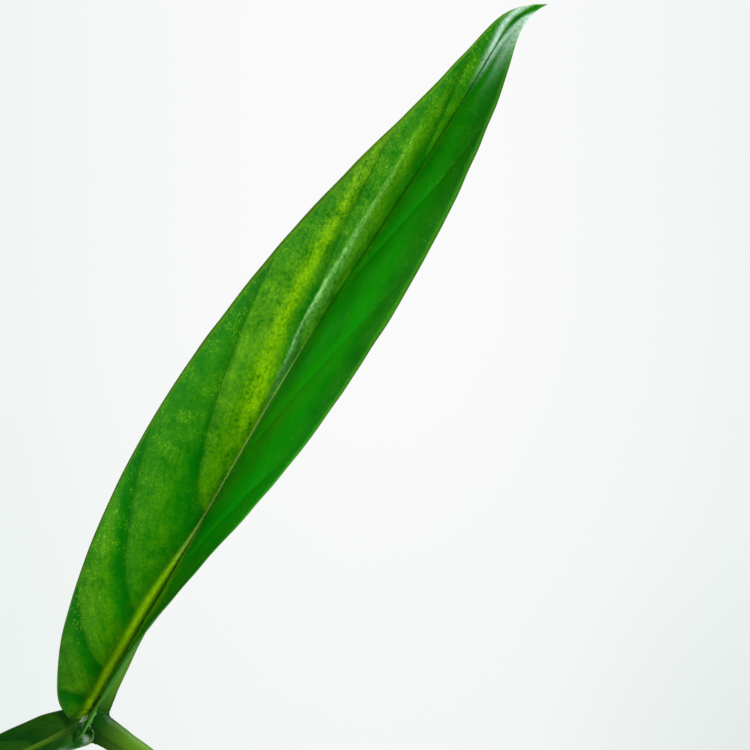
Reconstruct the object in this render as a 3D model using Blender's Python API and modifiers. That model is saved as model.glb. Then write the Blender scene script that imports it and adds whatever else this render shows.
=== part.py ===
"""Potted pothos: long glossy leaves on curved stalks, three short stems, and a plain clay pot of mix.

The pot stands on z = 0 with its axis on the Z axis. Everything is in metres, and angles are in degrees.
"""
import math
from collections import namedtuple

import bmesh
import bpy
import numpy as np

MM = 0.001
CLEARANCE = 0.3 * MM

# The pot, from its foot to its rim
POT_HEIGHT = 108 * MM
FOOT_RADIUS = 42 * MM
RIM_RADIUS = 62.5 * MM
MOUTH_RADIUS = 56 * MM
WALL = 5.2 * MM
FLOOR = 6 * MM
RIM_BAND = 22 * MM
RIM_PROUD = 3.4 * MM
EDGE_ROUNDING = 1.2 * MM
TURNED_STEPS = 48
DRAIN_RADIUS = 6.5 * MM
DRAIN_CIRCLE = 24 * MM
DRAIN_COUNT = 3

# The potting mix, domed a little towards the stems
MIX_EDGE = 91 * MM
MIX_TOP = 94 * MM
BURIED = 24 * MM

# Stems and leaf stalks
STEM_RADIUS = 3.3 * MM
NODE_SWELL = 1.18
STALK_FOOT_RADIUS = 2.3 * MM
STALK_RADIUS = 1.85 * MM
KNEE_SWELL = 1.12
BLADE_THICKNESS = 0.8 * MM

# A leaf blade laid flat, in shares of its length, in even rows from base to tip: how far along a row
# starts at the midrib, how far along it meets the margin, and the half-width there
OUTLINE = (
    (0.000, 0.000, 0.000),
    (0.000, -0.018, 0.018),
    (0.002, -0.017, 0.034),
    (0.010, 0.006, 0.058),
    (0.032, 0.085, 0.091),
    (0.074, 0.220, 0.118),
    (0.140, 0.380, 0.126),
    (0.250, 0.560, 0.112),
    (0.400, 0.710, 0.087),
    (0.580, 0.835, 0.055),
    (0.780, 0.930, 0.025),
    (1.000, 1.000, 0.000),
)
EAR_ROWS = 0.35
ROWS = 14
COLUMNS = 6
HOOK_START = 0.92
MIDRIB_STEPS = 200

# A stem: where it leaves the mix, how far its top leans from there, and its top's height
Stem = namedtuple("Stem", "name foot lean top")
STEMS = (
    Stem("stem_a", (16 * MM, 4 * MM), (13 * MM, 4 * MM), 166 * MM),
    Stem("stem_b", (-19 * MM, 10 * MM), (-9 * MM, 8 * MM), 148 * MM),
    Stem("stem_c", (1 * MM, -18 * MM), (5 * MM, -9 * MM), 138 * MM),
)

# A leaf: its stem, the height it leaves it at, the way its stalk sets off (bearing and rise), how far it
# holds that, the blade's base point and length, then the blade's bearing, pitch, roll, fold at the midrib
# and how much of the fold is lost by the margin, each as even stations from base to tip, then how far the
# tip hooks in pitch and bearing, and how much further back one of the two base lobes reaches
Leaf = namedtuple("Leaf", "name stem height bearing rise reach base length yaw pitch roll fold cup hook ear")
LEAVES = (
    Leaf("leaf_01", "stem_a", 121 * MM, 200, 72, 50 * MM, (-61.4 * MM, 0, 211.8 * MM), 167 * MM,
         (0, 0), (61, 60.5, 60.5, 59.5, 57.5, 56.5, 58.5, 59.5), (58, 63, 70, 78, 85, 90, 92, 92),
         (58, 54, 50, 47, 44, 41, 39, 39), (8, 14, 20, 24, 26, 26, 22, 18), (-44, 20), 0.020),
    Leaf("leaf_02", "stem_a", 141 * MM, 142, 62, 30 * MM, (-66.6 * MM, 15 * MM, 205.6 * MM), 150 * MM,
         (180, 184, 192), (-20, -41, -46, -52), (-13, -20, -16), (0, 14, 18), (4, 12, 12), (-12, 0), 0),
    Leaf("leaf_03", "stem_a", 152 * MM, -12, 50, 26 * MM, (94 * MM, 8 * MM, 187 * MM), 158 * MM,
         (-8, -10, -22), (52, 44, 24, -4), (12, 4, -6), (38, 32, 24), (14, 20, 14), (-16, 0), 0),
    Leaf("leaf_04", "stem_c", 124 * MM, -100, 62, 26 * MM, (-8 * MM, -84 * MM, 163 * MM), 150 * MM,
         (-98, -92, -80), (16, -14, -40, -60), (-10, -4, 6), (34, 28, 22), (14, 18, 12), (-10, 0), 0),
    Leaf("leaf_05", "stem_b", 126 * MM, 215, 60, 24 * MM, (-82 * MM, -52 * MM, 146 * MM), 138 * MM,
         (214, 210, 200), (12, -16, -38, -52), (10, 2, -6), (36, 30, 22), (12, 18, 12), (-10, 0), 0),
    Leaf("leaf_06", "stem_a", 133 * MM, 52, 60, 26 * MM, (66 * MM, 72 * MM, 160 * MM), 146 * MM,
         (50, 46, 36), (14, -8, -30, -48), (-8, 0, 8), (36, 30, 22), (14, 18, 12), (-10, 0), 0),
    Leaf("leaf_07", "stem_b", 139 * MM, 128, 58, 24 * MM, (-70 * MM, 76 * MM, 158 * MM), 144 * MM,
         (130, 136, 146), (10, -12, -34, -52), (8, 0, -8), (34, 28, 22), (12, 18, 12), (-10, 0), 0),
    Leaf("leaf_08", "stem_b", 117 * MM, 84, 58, 22 * MM, (-4 * MM, 86 * MM, 143 * MM), 132 * MM,
         (92, 88, 80), (8, -18, -40, -58), (-6, 0, 6), (36, 30, 22), (12, 18, 12), (-10, 0), 0),
    Leaf("leaf_09", "stem_c", 133 * MM, -42, 60, 26 * MM, (72 * MM, -62 * MM, 158 * MM), 146 * MM,
         (-38, -44, -56), (18, -6, -32, -54), (8, 2, -6), (34, 28, 22), (14, 18, 12), (-12, 0), 0),
    Leaf("leaf_10", "stem_b", 112 * MM, 178, 56, 20 * MM, (-84 * MM, 16 * MM, 138 * MM), 118 * MM,
         (172, 168, 160), (4, -22, -42, -54), (-8, 0, 6), (34, 28, 22), (12, 16, 12), (-10, 0), 0),
    Leaf("leaf_11", "stem_c", 116 * MM, 5, 58, 18 * MM, (52 * MM, -22 * MM, 128 * MM), 104 * MM,
         (-14, -20, -30), (22, 2, -22, -40), (6, 0, -6), (36, 30, 24), (12, 16, 12), (-10, 0), 0),
    Leaf("leaf_12", "stem_a", 109 * MM, 100, 60, 18 * MM, (28 * MM, 44 * MM, 130 * MM), 92 * MM,
         (70, 66, 60), (34, 16, -8, -26), (-6, 0, 6), (40, 34, 26), (12, 16, 12), (-10, 0), 0),
    Leaf("leaf_13", "stem_c", 108 * MM, 205, 58, 18 * MM, (-38 * MM, -44 * MM, 124 * MM), 98 * MM,
         (226, 232, 240), (26, 6, -18, -36), (8, 0, -6), (36, 30, 24), (12, 16, 12), (-10, 0), 0),
)

# A leaf still rolled up: its base point, its tip, and its greatest radius
NEW_LEAVES = (
    ("new_leaf_a", (29.6 * MM, 8.2 * MM, 167.2 * MM), (37 * MM, 10 * MM, 199 * MM), 2.6 * MM),
    ("new_leaf_b", (-28.8 * MM, 18.4 * MM, 149.2 * MM), (-36 * MM, 25 * MM, 180 * MM), 2.3 * MM),
)

# An aerial root: its stem, the height it leaves it at, its bearing, and how far out it reaches the mix
AERIAL_ROOTS = (
    ("aerial_root_a", "stem_a", 112 * MM, -60, 17 * MM),
    ("aerial_root_b", "stem_b", 108 * MM, 235, 15 * MM),
    ("aerial_root_c", "stem_c", 110 * MM, 150, 14 * MM),
)
AERIAL_ROOT_RADIUS = 1.0 * MM

# A papery sheath left round a stem: its stem, its foot's height, the way it faces, and its length
SHEATHS = (
    ("sheath_a", "stem_a", 141 * MM, -70, 17 * MM),
    ("sheath_b", "stem_b", 121 * MM, 20, 15 * MM),
    ("sheath_c", "stem_c", 113 * MM, 120, 15 * MM),
)
SHEATH_THICKNESS = 0.5 * MM

# Colour, roughness and metallic value of each material
MATERIALS = {
    "clay": ((0.50, 0.20, 0.10), 0.85, 0.0),
    "potting_mix": ((0.045, 0.030, 0.020), 0.95, 0.0),
    "stem_green": ((0.12, 0.26, 0.03), 0.45, 0.0),
    "leaf_green": ((0.015, 0.19, 0.004), 0.28, 0.0),
    "new_leaf_green": ((0.20, 0.42, 0.03), 0.30, 0.0),
    "root_brown": ((0.20, 0.13, 0.06), 0.80, 0.0),
    "sheath_brown": ((0.36, 0.24, 0.12), 0.75, 0.0),
}


def clear_scene():
    """Remove whatever the scene holds."""
    for item in list(bpy.data.objects):
        bpy.data.objects.remove(item, do_unlink=True)


def new_collection(name):
    """Add a collection to the scene."""
    group = bpy.data.collections.new(name)
    bpy.context.scene.collection.children.link(group)
    return group


def add_material(name):
    """Make one Principled material from the table."""
    colour, roughness, metallic = MATERIALS[name]
    material = bpy.data.materials.new(name)
    material.use_nodes = True
    shader = material.node_tree.nodes["Principled BSDF"]
    shader.inputs["Base Color"].default_value = (*colour, 1)
    shader.inputs["Roughness"].default_value = roughness
    shader.inputs["Metallic"].default_value = metallic
    material.diffuse_color = (*colour, 1)
    return material


def add_object(name, mesh, group, material=None):
    """Put a mesh into the scene as one named object."""
    item = bpy.data.objects.new(name, mesh)
    group.objects.link(item)
    if material:
        mesh.materials.append(material)
    return item


def mesh_from(name, work):
    """Turn a bmesh into a smooth-shaded mesh."""
    mesh = bpy.data.meshes.new(name)
    work.to_mesh(mesh)
    work.free()
    mesh.shade_smooth()
    return mesh


def spline(stations, share):
    """Read a smooth curve through evenly spaced stations, at shares of its length from 0 to 1."""
    points = np.asarray(stations, float)
    points = points.reshape(len(points), -1)
    last = len(points) - 1
    place = np.clip(np.asarray(share, float), 0, 1) * last
    index = np.minimum(place.astype(int), last - 1)
    f = (place - index)[..., None]
    padded = np.vstack([2 * points[0] - points[1], points, 2 * points[-1] - points[-2]])
    a, b, c, d = (padded[index + k] for k in range(4))
    return 0.5 * (2 * b + (c - a) * f + (2 * a - 5 * b + 4 * c - d) * f**2 + (3 * b - a - 3 * c + d) * f**3)


def unit(vector):
    """Scale a vector to length one."""
    vector = np.asarray(vector, float)
    return vector / np.linalg.norm(vector)


def direction(bearing, rise):
    """Unit vector at a bearing from +X, rising from the level."""
    b, r = math.radians(bearing), math.radians(rise)
    return np.array((math.cos(r) * math.cos(b), math.cos(r) * math.sin(b), math.sin(r)))


def turned(name, profile, group, material):
    """Turn a profile of (radius, height) points, outer side from top to bottom, about the Z axis."""
    work = bmesh.new()
    ring = [work.verts.new((radius, 0, height)) for radius, height in profile]
    for first, second in zip(ring, ring[1:]):
        work.edges.new((first, second))
    item = add_object(name, mesh_from(name, work), group, material)
    screw = item.modifiers.new("turn", "SCREW")
    screw.steps = TURNED_STEPS
    screw.render_steps = TURNED_STEPS
    screw.use_merge_vertices = True
    screw.merge_threshold = 0.01 * MM
    return item


def cylinder_cutter(name, centre, radius, bottom, top, cutters):
    """Stand a closed cylinder where a hole goes."""
    work = bmesh.new()
    bmesh.ops.create_cone(work, cap_ends=True, segments=20, radius1=radius, radius2=radius, depth=top - bottom)
    item = add_object(name, mesh_from(name, work), cutters)
    item.location = (*centre, (top + bottom) / 2)
    item.hide_render = True
    item.display_type = "WIRE"
    return item


def boolean(item, other, operation):
    """Join another body to this one or cut it away."""
    modifier = item.modifiers.new(operation.lower(), "BOOLEAN")
    modifier.operation = operation
    modifier.object = other


def tube(name, points, radii, group, material=None, sides_level=2):
    """Sweep a round section of changing radius along points, as one closed mesh."""
    curve = bpy.data.curves.new(name, "CURVE")
    curve.dimensions = "3D"
    curve.bevel_depth = 1
    curve.bevel_resolution = sides_level
    curve.use_fill_caps = True
    line = curve.splines.new("POLY")
    line.points.add(len(points) - 1)
    for knot, point, radius in zip(line.points, points, radii):
        knot.co = (*point, 1)
        knot.radius = radius
    guide = bpy.data.objects.new(name + "_line", curve)
    group.objects.link(guide)
    bpy.context.view_layer.update()
    ready = guide.evaluated_get(bpy.context.evaluated_depsgraph_get())
    work = bmesh.new()
    work.from_mesh(bpy.data.meshes.new_from_object(ready))
    bmesh.ops.remove_doubles(work, verts=work.verts, dist=0.01 * MM)
    bpy.data.objects.remove(guide, do_unlink=True)
    return add_object(name, mesh_from(name, work), group, material)


def inner_radius(height):
    """Radius of the pot's inner wall at a height."""
    foot = FOOT_RADIUS + EDGE_ROUNDING - WALL
    return foot + (MOUTH_RADIUS - foot) * (height - FLOOR) / (POT_HEIGHT - FLOOR)


def drain_centres():
    """Centres of the drain holes, evenly round the foot."""
    turns = [2 * math.pi * (k + 0.25) / DRAIN_COUNT for k in range(DRAIN_COUNT)]
    return [(DRAIN_CIRCLE * math.cos(turn), DRAIN_CIRCLE * math.sin(turn)) for turn in turns]


def make_pot(parts, cutters, material):
    """Plain tapered clay pot with a proud rim band and drain holes through its floor."""
    band = POT_HEIGHT - RIM_BAND
    under_band = inner_radius(band) + WALL
    rounding = EDGE_ROUNDING
    profile = (
        (0, FLOOR),
        (inner_radius(FLOOR) - 2 * rounding, FLOOR),
        (inner_radius(FLOOR + 2 * rounding), FLOOR + 2 * rounding),
        (MOUTH_RADIUS - 0.2 * MM, POT_HEIGHT - rounding),
        (MOUTH_RADIUS + rounding, POT_HEIGHT),
        (RIM_RADIUS - rounding, POT_HEIGHT),
        (RIM_RADIUS, POT_HEIGHT - rounding),
        (under_band + RIM_PROUD, band + rounding),
        (under_band + RIM_PROUD - rounding, band),
        (under_band, band - rounding),
        (FOOT_RADIUS + rounding / 2, 2 * rounding),
        (FOOT_RADIUS - rounding, 0),
        (0, 0),
    )
    pot = turned("pot", profile, parts, material)
    for number, centre in enumerate(drain_centres(), start=1):
        hole = cylinder_cutter(f"drain_{number}", centre, DRAIN_RADIUS, -FLOOR, 2 * FLOOR, cutters)
        boolean(pot, hole, "DIFFERENCE")


def stem_line(stem, share):
    """Centre line of a stem: straight up from the mix's depth, then leaning over towards its top."""
    share = np.asarray(share, float)
    bottom = MIX_TOP - BURIED
    height = bottom + (stem.top - bottom) * share
    straight = MIX_TOP + 3 * MM
    bend = np.clip((height - straight) / (stem.top - straight), 0, 1) ** 1.5
    level = [foot + lean * bend for foot, lean in zip(stem.foot, stem.lean)]
    return np.stack((*level, height), -1)


def stem_point(name, height):
    """Point on a named stem's centre line at a height."""
    stem = next(one for one in STEMS if one.name == name)
    bottom = MIX_TOP - BURIED
    return stem_line(stem, (height - bottom) / (stem.top - bottom))


def make_mix(parts, cutters, material):
    """Potting mix that fills the pot to below its rim, with a pocket for each stem."""
    slack = CLEARANCE
    floor = FLOOR + slack
    rounding = 2 * EDGE_ROUNDING
    profile = (
        (0, MIX_TOP),
        (26 * MM, MIX_TOP - 0.6 * MM),
        (44 * MM, MIX_TOP - 2.2 * MM),
        (inner_radius(MIX_EDGE) - 2 * slack, MIX_EDGE),
        (inner_radius(floor + rounding) - 2 * slack, floor + rounding),
        (inner_radius(floor) - rounding - slack, floor),
        (0, floor),
    )
    mix = turned("potting_mix", profile, parts, material)
    for stem in STEMS:
        bottom = MIX_TOP - BURIED - CLEARANCE
        pocket = cylinder_cutter(stem.name + "_pocket", stem.foot, STEM_RADIUS + CLEARANCE + 0.1 * MM,
                                 bottom, MIX_TOP + BURIED, cutters)
        boolean(mix, pocket, "DIFFERENCE")


def make_stem(stem, parts, material):
    """Round stem with a slight swelling at each node and a blunt top."""
    share = np.linspace(0, 1, 22)
    points = stem_line(stem, share)
    above = points[:, 2] > MIX_TOP + 4 * MM
    swell = np.where(above, 1 + (NODE_SWELL - 1) * (np.arange(len(share)) % 4 == 1), 1)
    radii = STEM_RADIUS * (1 - 0.12 * share) * swell
    radii[-1] *= 0.55
    tube(stem.name, points, radii, parts, material)


def leaf_frame(leaf, share):
    """Along, up and side directions of a blade at shares of its midrib."""
    share = np.clip(np.asarray(share, float), 0, 1)
    late = np.clip((share - HOOK_START) / (1 - HOOK_START), 0, 1)
    late = late * late * (3 - 2 * late)
    yaw = np.radians(spline(leaf.yaw, share)[..., 0] + leaf.hook[1] * late)
    pitch = np.radians(spline(leaf.pitch, share)[..., 0] + leaf.hook[0] * late)
    roll = np.radians(spline(leaf.roll, share)[..., 0])
    along = np.stack((np.cos(pitch) * np.cos(yaw), np.cos(pitch) * np.sin(yaw), np.sin(pitch)), -1)
    up = np.stack((-np.sin(pitch) * np.cos(yaw), -np.sin(pitch) * np.sin(yaw), np.cos(pitch)), -1)
    side = np.stack((np.sin(yaw), -np.cos(yaw), 0 * yaw), -1)
    c, s = np.cos(roll)[..., None], np.sin(roll)[..., None]
    return along, c * up + s * side, c * side - s * up


def midrib_point(leaf, share):
    """Point on the midrib: the along direction summed from the base, straight on behind the base."""
    fine = np.linspace(0, 1, MIDRIB_STEPS + 1)
    along = leaf_frame(leaf, fine)[0]
    steps = (along[1:] + along[:-1]) / 2 * leaf.length / MIDRIB_STEPS
    line = np.array(leaf.base) + np.vstack([np.zeros(3), np.cumsum(steps, 0)])
    point = np.stack([np.interp(share, fine, line[:, axis]) for axis in range(3)], -1)
    return point + np.minimum(share, 0)[..., None] * leaf.length * along[0]


def blade_point(leaf, row, across):
    """Point of a blade: a row swept forward like a vein, folded up about the midrib as a circular arc."""
    start, end, half = (spline(OUTLINE, row)[..., k] for k in range(3))
    ear = leaf.ear * np.sin(np.pi * np.clip(row / EAR_ROWS, 0, 1)) * (across > 0)
    reach = start + (end - ear - start) * across**2
    width = half * np.abs(across)
    _, up, side = leaf_frame(leaf, reach)
    fold = np.radians(spline(leaf.fold, reach)[..., 0])
    cup = np.maximum(np.radians(spline(leaf.cup, reach)[..., 0]), 1e-4)
    widest = max(station[2] for station in OUTLINE)
    bend = cup / widest
    steep = fold + cup / 2
    out = (np.sin(steep) - np.sin(steep - bend * width)) / bend
    lift = (np.cos(steep - bend * width) - np.cos(steep)) / bend
    sign = np.sign(across)
    return midrib_point(leaf, reach) + leaf.length * ((sign * out)[..., None] * side + lift[..., None] * up)


def stalk_points(leaf):
    """Stalk from beside its stem, up and out in one sweep, then round the knee behind the blade's base."""
    along, up, _ = (part[0] for part in leaf_frame(leaf, np.zeros(1)))
    outward = direction(leaf.bearing, 0)
    leaving = direction(leaf.bearing, leaf.rise)
    tilt = STALK_FOOT_RADIUS * math.sin(math.radians(leaf.rise))
    offset = STEM_RADIUS * NODE_SWELL + tilt + 2 * CLEARANCE
    start = stem_point(leaf.stem, leaf.height) + outward * offset
    end = np.array(leaf.base) + along * 8 * MM - up * 0.6 * MM
    corner = end - along * 9.6 * MM
    first = start + leaving * leaf.reach
    arriving = unit(corner - first)
    bend = corner - arriving * 3.2 * MM
    turned_up = corner + along * 3.2 * MM
    second = bend - arriving * 0.35 * np.linalg.norm(bend - first)
    f = np.linspace(0, 1, 9)[:, None]
    sweep = (1 - f)**3 * start + 3 * (1 - f)**2 * f * first + 3 * (1 - f) * f**2 * second + f**3 * bend
    f = np.linspace(0, 1, 5)[1:, None]
    knee = (1 - f)**2 * bend + 2 * (1 - f) * f * corner + f**2 * turned_up
    return np.vstack([sweep, knee, end])


def make_leaf(leaf, parts, cutters, material):
    """One leaf grown as one piece: a folded blade with its stalk joined under the base of the midrib."""
    bpy.ops.mesh.primitive_grid_add(x_subdivisions=ROWS, y_subdivisions=COLUMNS, size=2)
    item = bpy.context.object
    item.name = leaf.name
    for group in list(item.users_collection):
        group.objects.unlink(item)
    parts.objects.link(item)
    mesh = item.data
    mesh.name = leaf.name
    grid = np.empty(len(mesh.vertices) * 3)
    mesh.vertices.foreach_get("co", grid)
    grid = grid.reshape(-1, 3)
    points = blade_point(leaf, (grid[:, 0] + 1) / 2, grid[:, 1])
    mesh.vertices.foreach_set("co", points.ravel())
    work = bmesh.new()
    work.from_mesh(mesh)
    bmesh.ops.remove_doubles(work, verts=work.verts, dist=0.05 * MM)
    work.to_mesh(mesh)
    work.free()
    mesh.materials.append(material)
    mesh.shade_smooth()
    thicken = item.modifiers.new("thickness", "SOLIDIFY")
    thicken.thickness = BLADE_THICKNESS
    thicken.offset = 0
    points = stalk_points(leaf)
    share = np.linspace(0, 1, len(points))
    radii = STALK_FOOT_RADIUS + (STALK_RADIUS - STALK_FOOT_RADIUS) * np.minimum(share * 2, 1)
    radii[-6:-1] *= KNEE_SWELL
    radii[-1] *= 0.4
    stalk = tube(leaf.name + "_stalk", points, radii, cutters)
    stalk.hide_render = True
    stalk.display_type = "WIRE"
    boolean(item, stalk, "UNION")


def make_new_leaf(name, base, tip, radius, parts, material):
    """A leaf still rolled into a pointed spindle."""
    share = np.linspace(0, 1, 9)
    points = np.array(base) + share[:, None] * (np.array(tip) - np.array(base))
    radii = radius * (0.55 + 1.9 * share) * (1 - share)**0.9 + 0.35 * MM
    tube(name, points, radii, parts, material)


def make_aerial_root(name, stem, height, bearing, reach, parts, material):
    """A short root that leaves a stem and arches down to the mix."""
    outward = direction(bearing, 0)
    start = stem_point(stem, height) + outward * (STEM_RADIUS * NODE_SWELL + 2 * CLEARANCE)
    end = start + outward * reach
    end[2] = MIX_TOP + AERIAL_ROOT_RADIUS + CLEARANCE
    share = np.linspace(0, 1, 8)
    points = start + share[:, None] * (end - start)
    points[:, 2] = start[2] + (end[2] - start[2]) * share**2.2
    radii = AERIAL_ROOT_RADIUS * (1 - 0.45 * share)
    tube(name, points, radii, parts, material, 1)


def make_sheath(name, stem, height, bearing, length, parts, material):
    """A dry sheath that half wraps a stem and narrows to a point."""
    bpy.ops.mesh.primitive_grid_add(x_subdivisions=6, y_subdivisions=6, size=2)
    item = bpy.context.object
    item.name = name
    for group in list(item.users_collection):
        group.objects.unlink(item)
    parts.objects.link(item)
    radius = STEM_RADIUS * NODE_SWELL + SHEATH_THICKNESS / 2 + 2 * CLEARANCE
    for vertex in item.data.vertices:
        rise = (vertex.co.x + 1) / 2
        turn = math.radians(bearing + vertex.co.y * 70 * (1 - 0.85 * rise))
        centre = stem_point(stem, height + length * rise)
        spread = radius * (1 + 0.35 * rise**2)
        vertex.co = centre + spread * np.array((math.cos(turn), math.sin(turn), 0))
    item.data.name = name
    item.data.materials.append(material)
    item.data.shade_smooth()
    thicken = item.modifiers.new("thickness", "SOLIDIFY")
    thicken.thickness = SHEATH_THICKNESS
    thicken.offset = 0


def main():
    """Build the whole plant in its pot."""
    clear_scene()
    parts = new_collection("potted_pothos")
    cutters = new_collection("cutters")
    materials = {name: add_material(name) for name in MATERIALS}
    make_pot(parts, cutters, materials["clay"])
    make_mix(parts, cutters, materials["potting_mix"])
    for stem in STEMS:
        make_stem(stem, parts, materials["stem_green"])
    for leaf in LEAVES:
        make_leaf(leaf, parts, cutters, materials["leaf_green"])
    for new_leaf in NEW_LEAVES:
        make_new_leaf(*new_leaf, parts, materials["new_leaf_green"])
    for root in AERIAL_ROOTS:
        make_aerial_root(*root, parts, materials["root_brown"])
    for sheath in SHEATHS:
        make_sheath(*sheath, parts, materials["sheath_brown"])


main()
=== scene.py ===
"""Potted pothos: finished leaves, stems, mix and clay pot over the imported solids, on a pale studio floor."""
import math
from collections import namedtuple

import bmesh
import bpy
import numpy as np
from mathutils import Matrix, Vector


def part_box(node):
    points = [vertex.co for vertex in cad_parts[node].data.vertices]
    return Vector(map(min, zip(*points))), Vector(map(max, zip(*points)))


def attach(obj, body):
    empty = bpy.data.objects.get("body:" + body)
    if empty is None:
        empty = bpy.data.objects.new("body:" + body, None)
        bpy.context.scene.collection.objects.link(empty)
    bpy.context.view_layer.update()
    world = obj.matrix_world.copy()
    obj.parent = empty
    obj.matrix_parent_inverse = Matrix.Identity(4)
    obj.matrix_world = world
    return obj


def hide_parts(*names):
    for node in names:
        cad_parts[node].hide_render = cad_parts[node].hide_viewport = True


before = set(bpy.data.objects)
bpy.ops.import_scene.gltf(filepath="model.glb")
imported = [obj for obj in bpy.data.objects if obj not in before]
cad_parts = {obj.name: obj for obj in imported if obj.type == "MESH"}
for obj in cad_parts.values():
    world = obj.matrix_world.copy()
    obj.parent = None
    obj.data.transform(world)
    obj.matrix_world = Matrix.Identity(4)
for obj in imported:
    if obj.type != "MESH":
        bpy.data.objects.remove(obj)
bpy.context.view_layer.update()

MM = 0.001

# ----- Layout, as the solids have it: metres and degrees, with the pot's foot on z = 0 -----

POT_HEIGHT = 108 * MM
FOOT_RADIUS = 42 * MM
RIM_RADIUS = 62.5 * MM
MOUTH_RADIUS = 56 * MM
WALL = 5.2 * MM
FLOOR = 6 * MM
RIM_BAND = 22 * MM
RIM_PROUD = 3.4 * MM
EDGE_ROUNDING = 1.2 * MM
DRAIN_RADIUS = 6.5 * MM
DRAIN_CIRCLE = 24 * MM
DRAIN_COUNT = 3
MIX_EDGE = 91 * MM
MIX_TOP = 94 * MM
BURIED = 24 * MM
STEM_RADIUS = 3.3 * MM
NODE_SWELL = 1.18
STALK_FOOT_RADIUS = 2.3 * MM
STALK_RADIUS = 1.85 * MM
KNEE_SWELL = 1.12
KNEE_BACK = 9.6 * MM
KNEE_BEND = 3.2 * MM
STALK_LAP = 8 * MM
STALK_DROP = 0.6 * MM
STALK_RUN = 20 * MM
CLEARANCE = 0.3 * MM

# A blade laid flat, in shares of its length, in even rows from base to tip: how far along a row starts
# at the midrib, how far along it meets the margin, and the half-width there
OUTLINE = (
    (0.000, 0.000, 0.000),
    (0.000, -0.018, 0.018),
    (0.002, -0.017, 0.034),
    (0.010, 0.006, 0.058),
    (0.032, 0.085, 0.091),
    (0.074, 0.220, 0.118),
    (0.140, 0.380, 0.126),
    (0.250, 0.560, 0.112),
    (0.400, 0.710, 0.087),
    (0.580, 0.835, 0.055),
    (0.780, 0.930, 0.025),
    (1.000, 1.000, 0.000),
)
EAR_ROWS = 0.35
HOOK_START = 0.92
MIDRIB_STEPS = 200

# A stem: where it leaves the mix, how far its top leans from there, and its top's height
Stem = namedtuple("Stem", "name foot lean top")
STEMS = (
    Stem("stem_a", (16 * MM, 4 * MM), (13 * MM, 4 * MM), 166 * MM),
    Stem("stem_b", (-19 * MM, 10 * MM), (-9 * MM, 8 * MM), 148 * MM),
    Stem("stem_c", (1 * MM, -18 * MM), (5 * MM, -9 * MM), 138 * MM),
)

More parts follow.
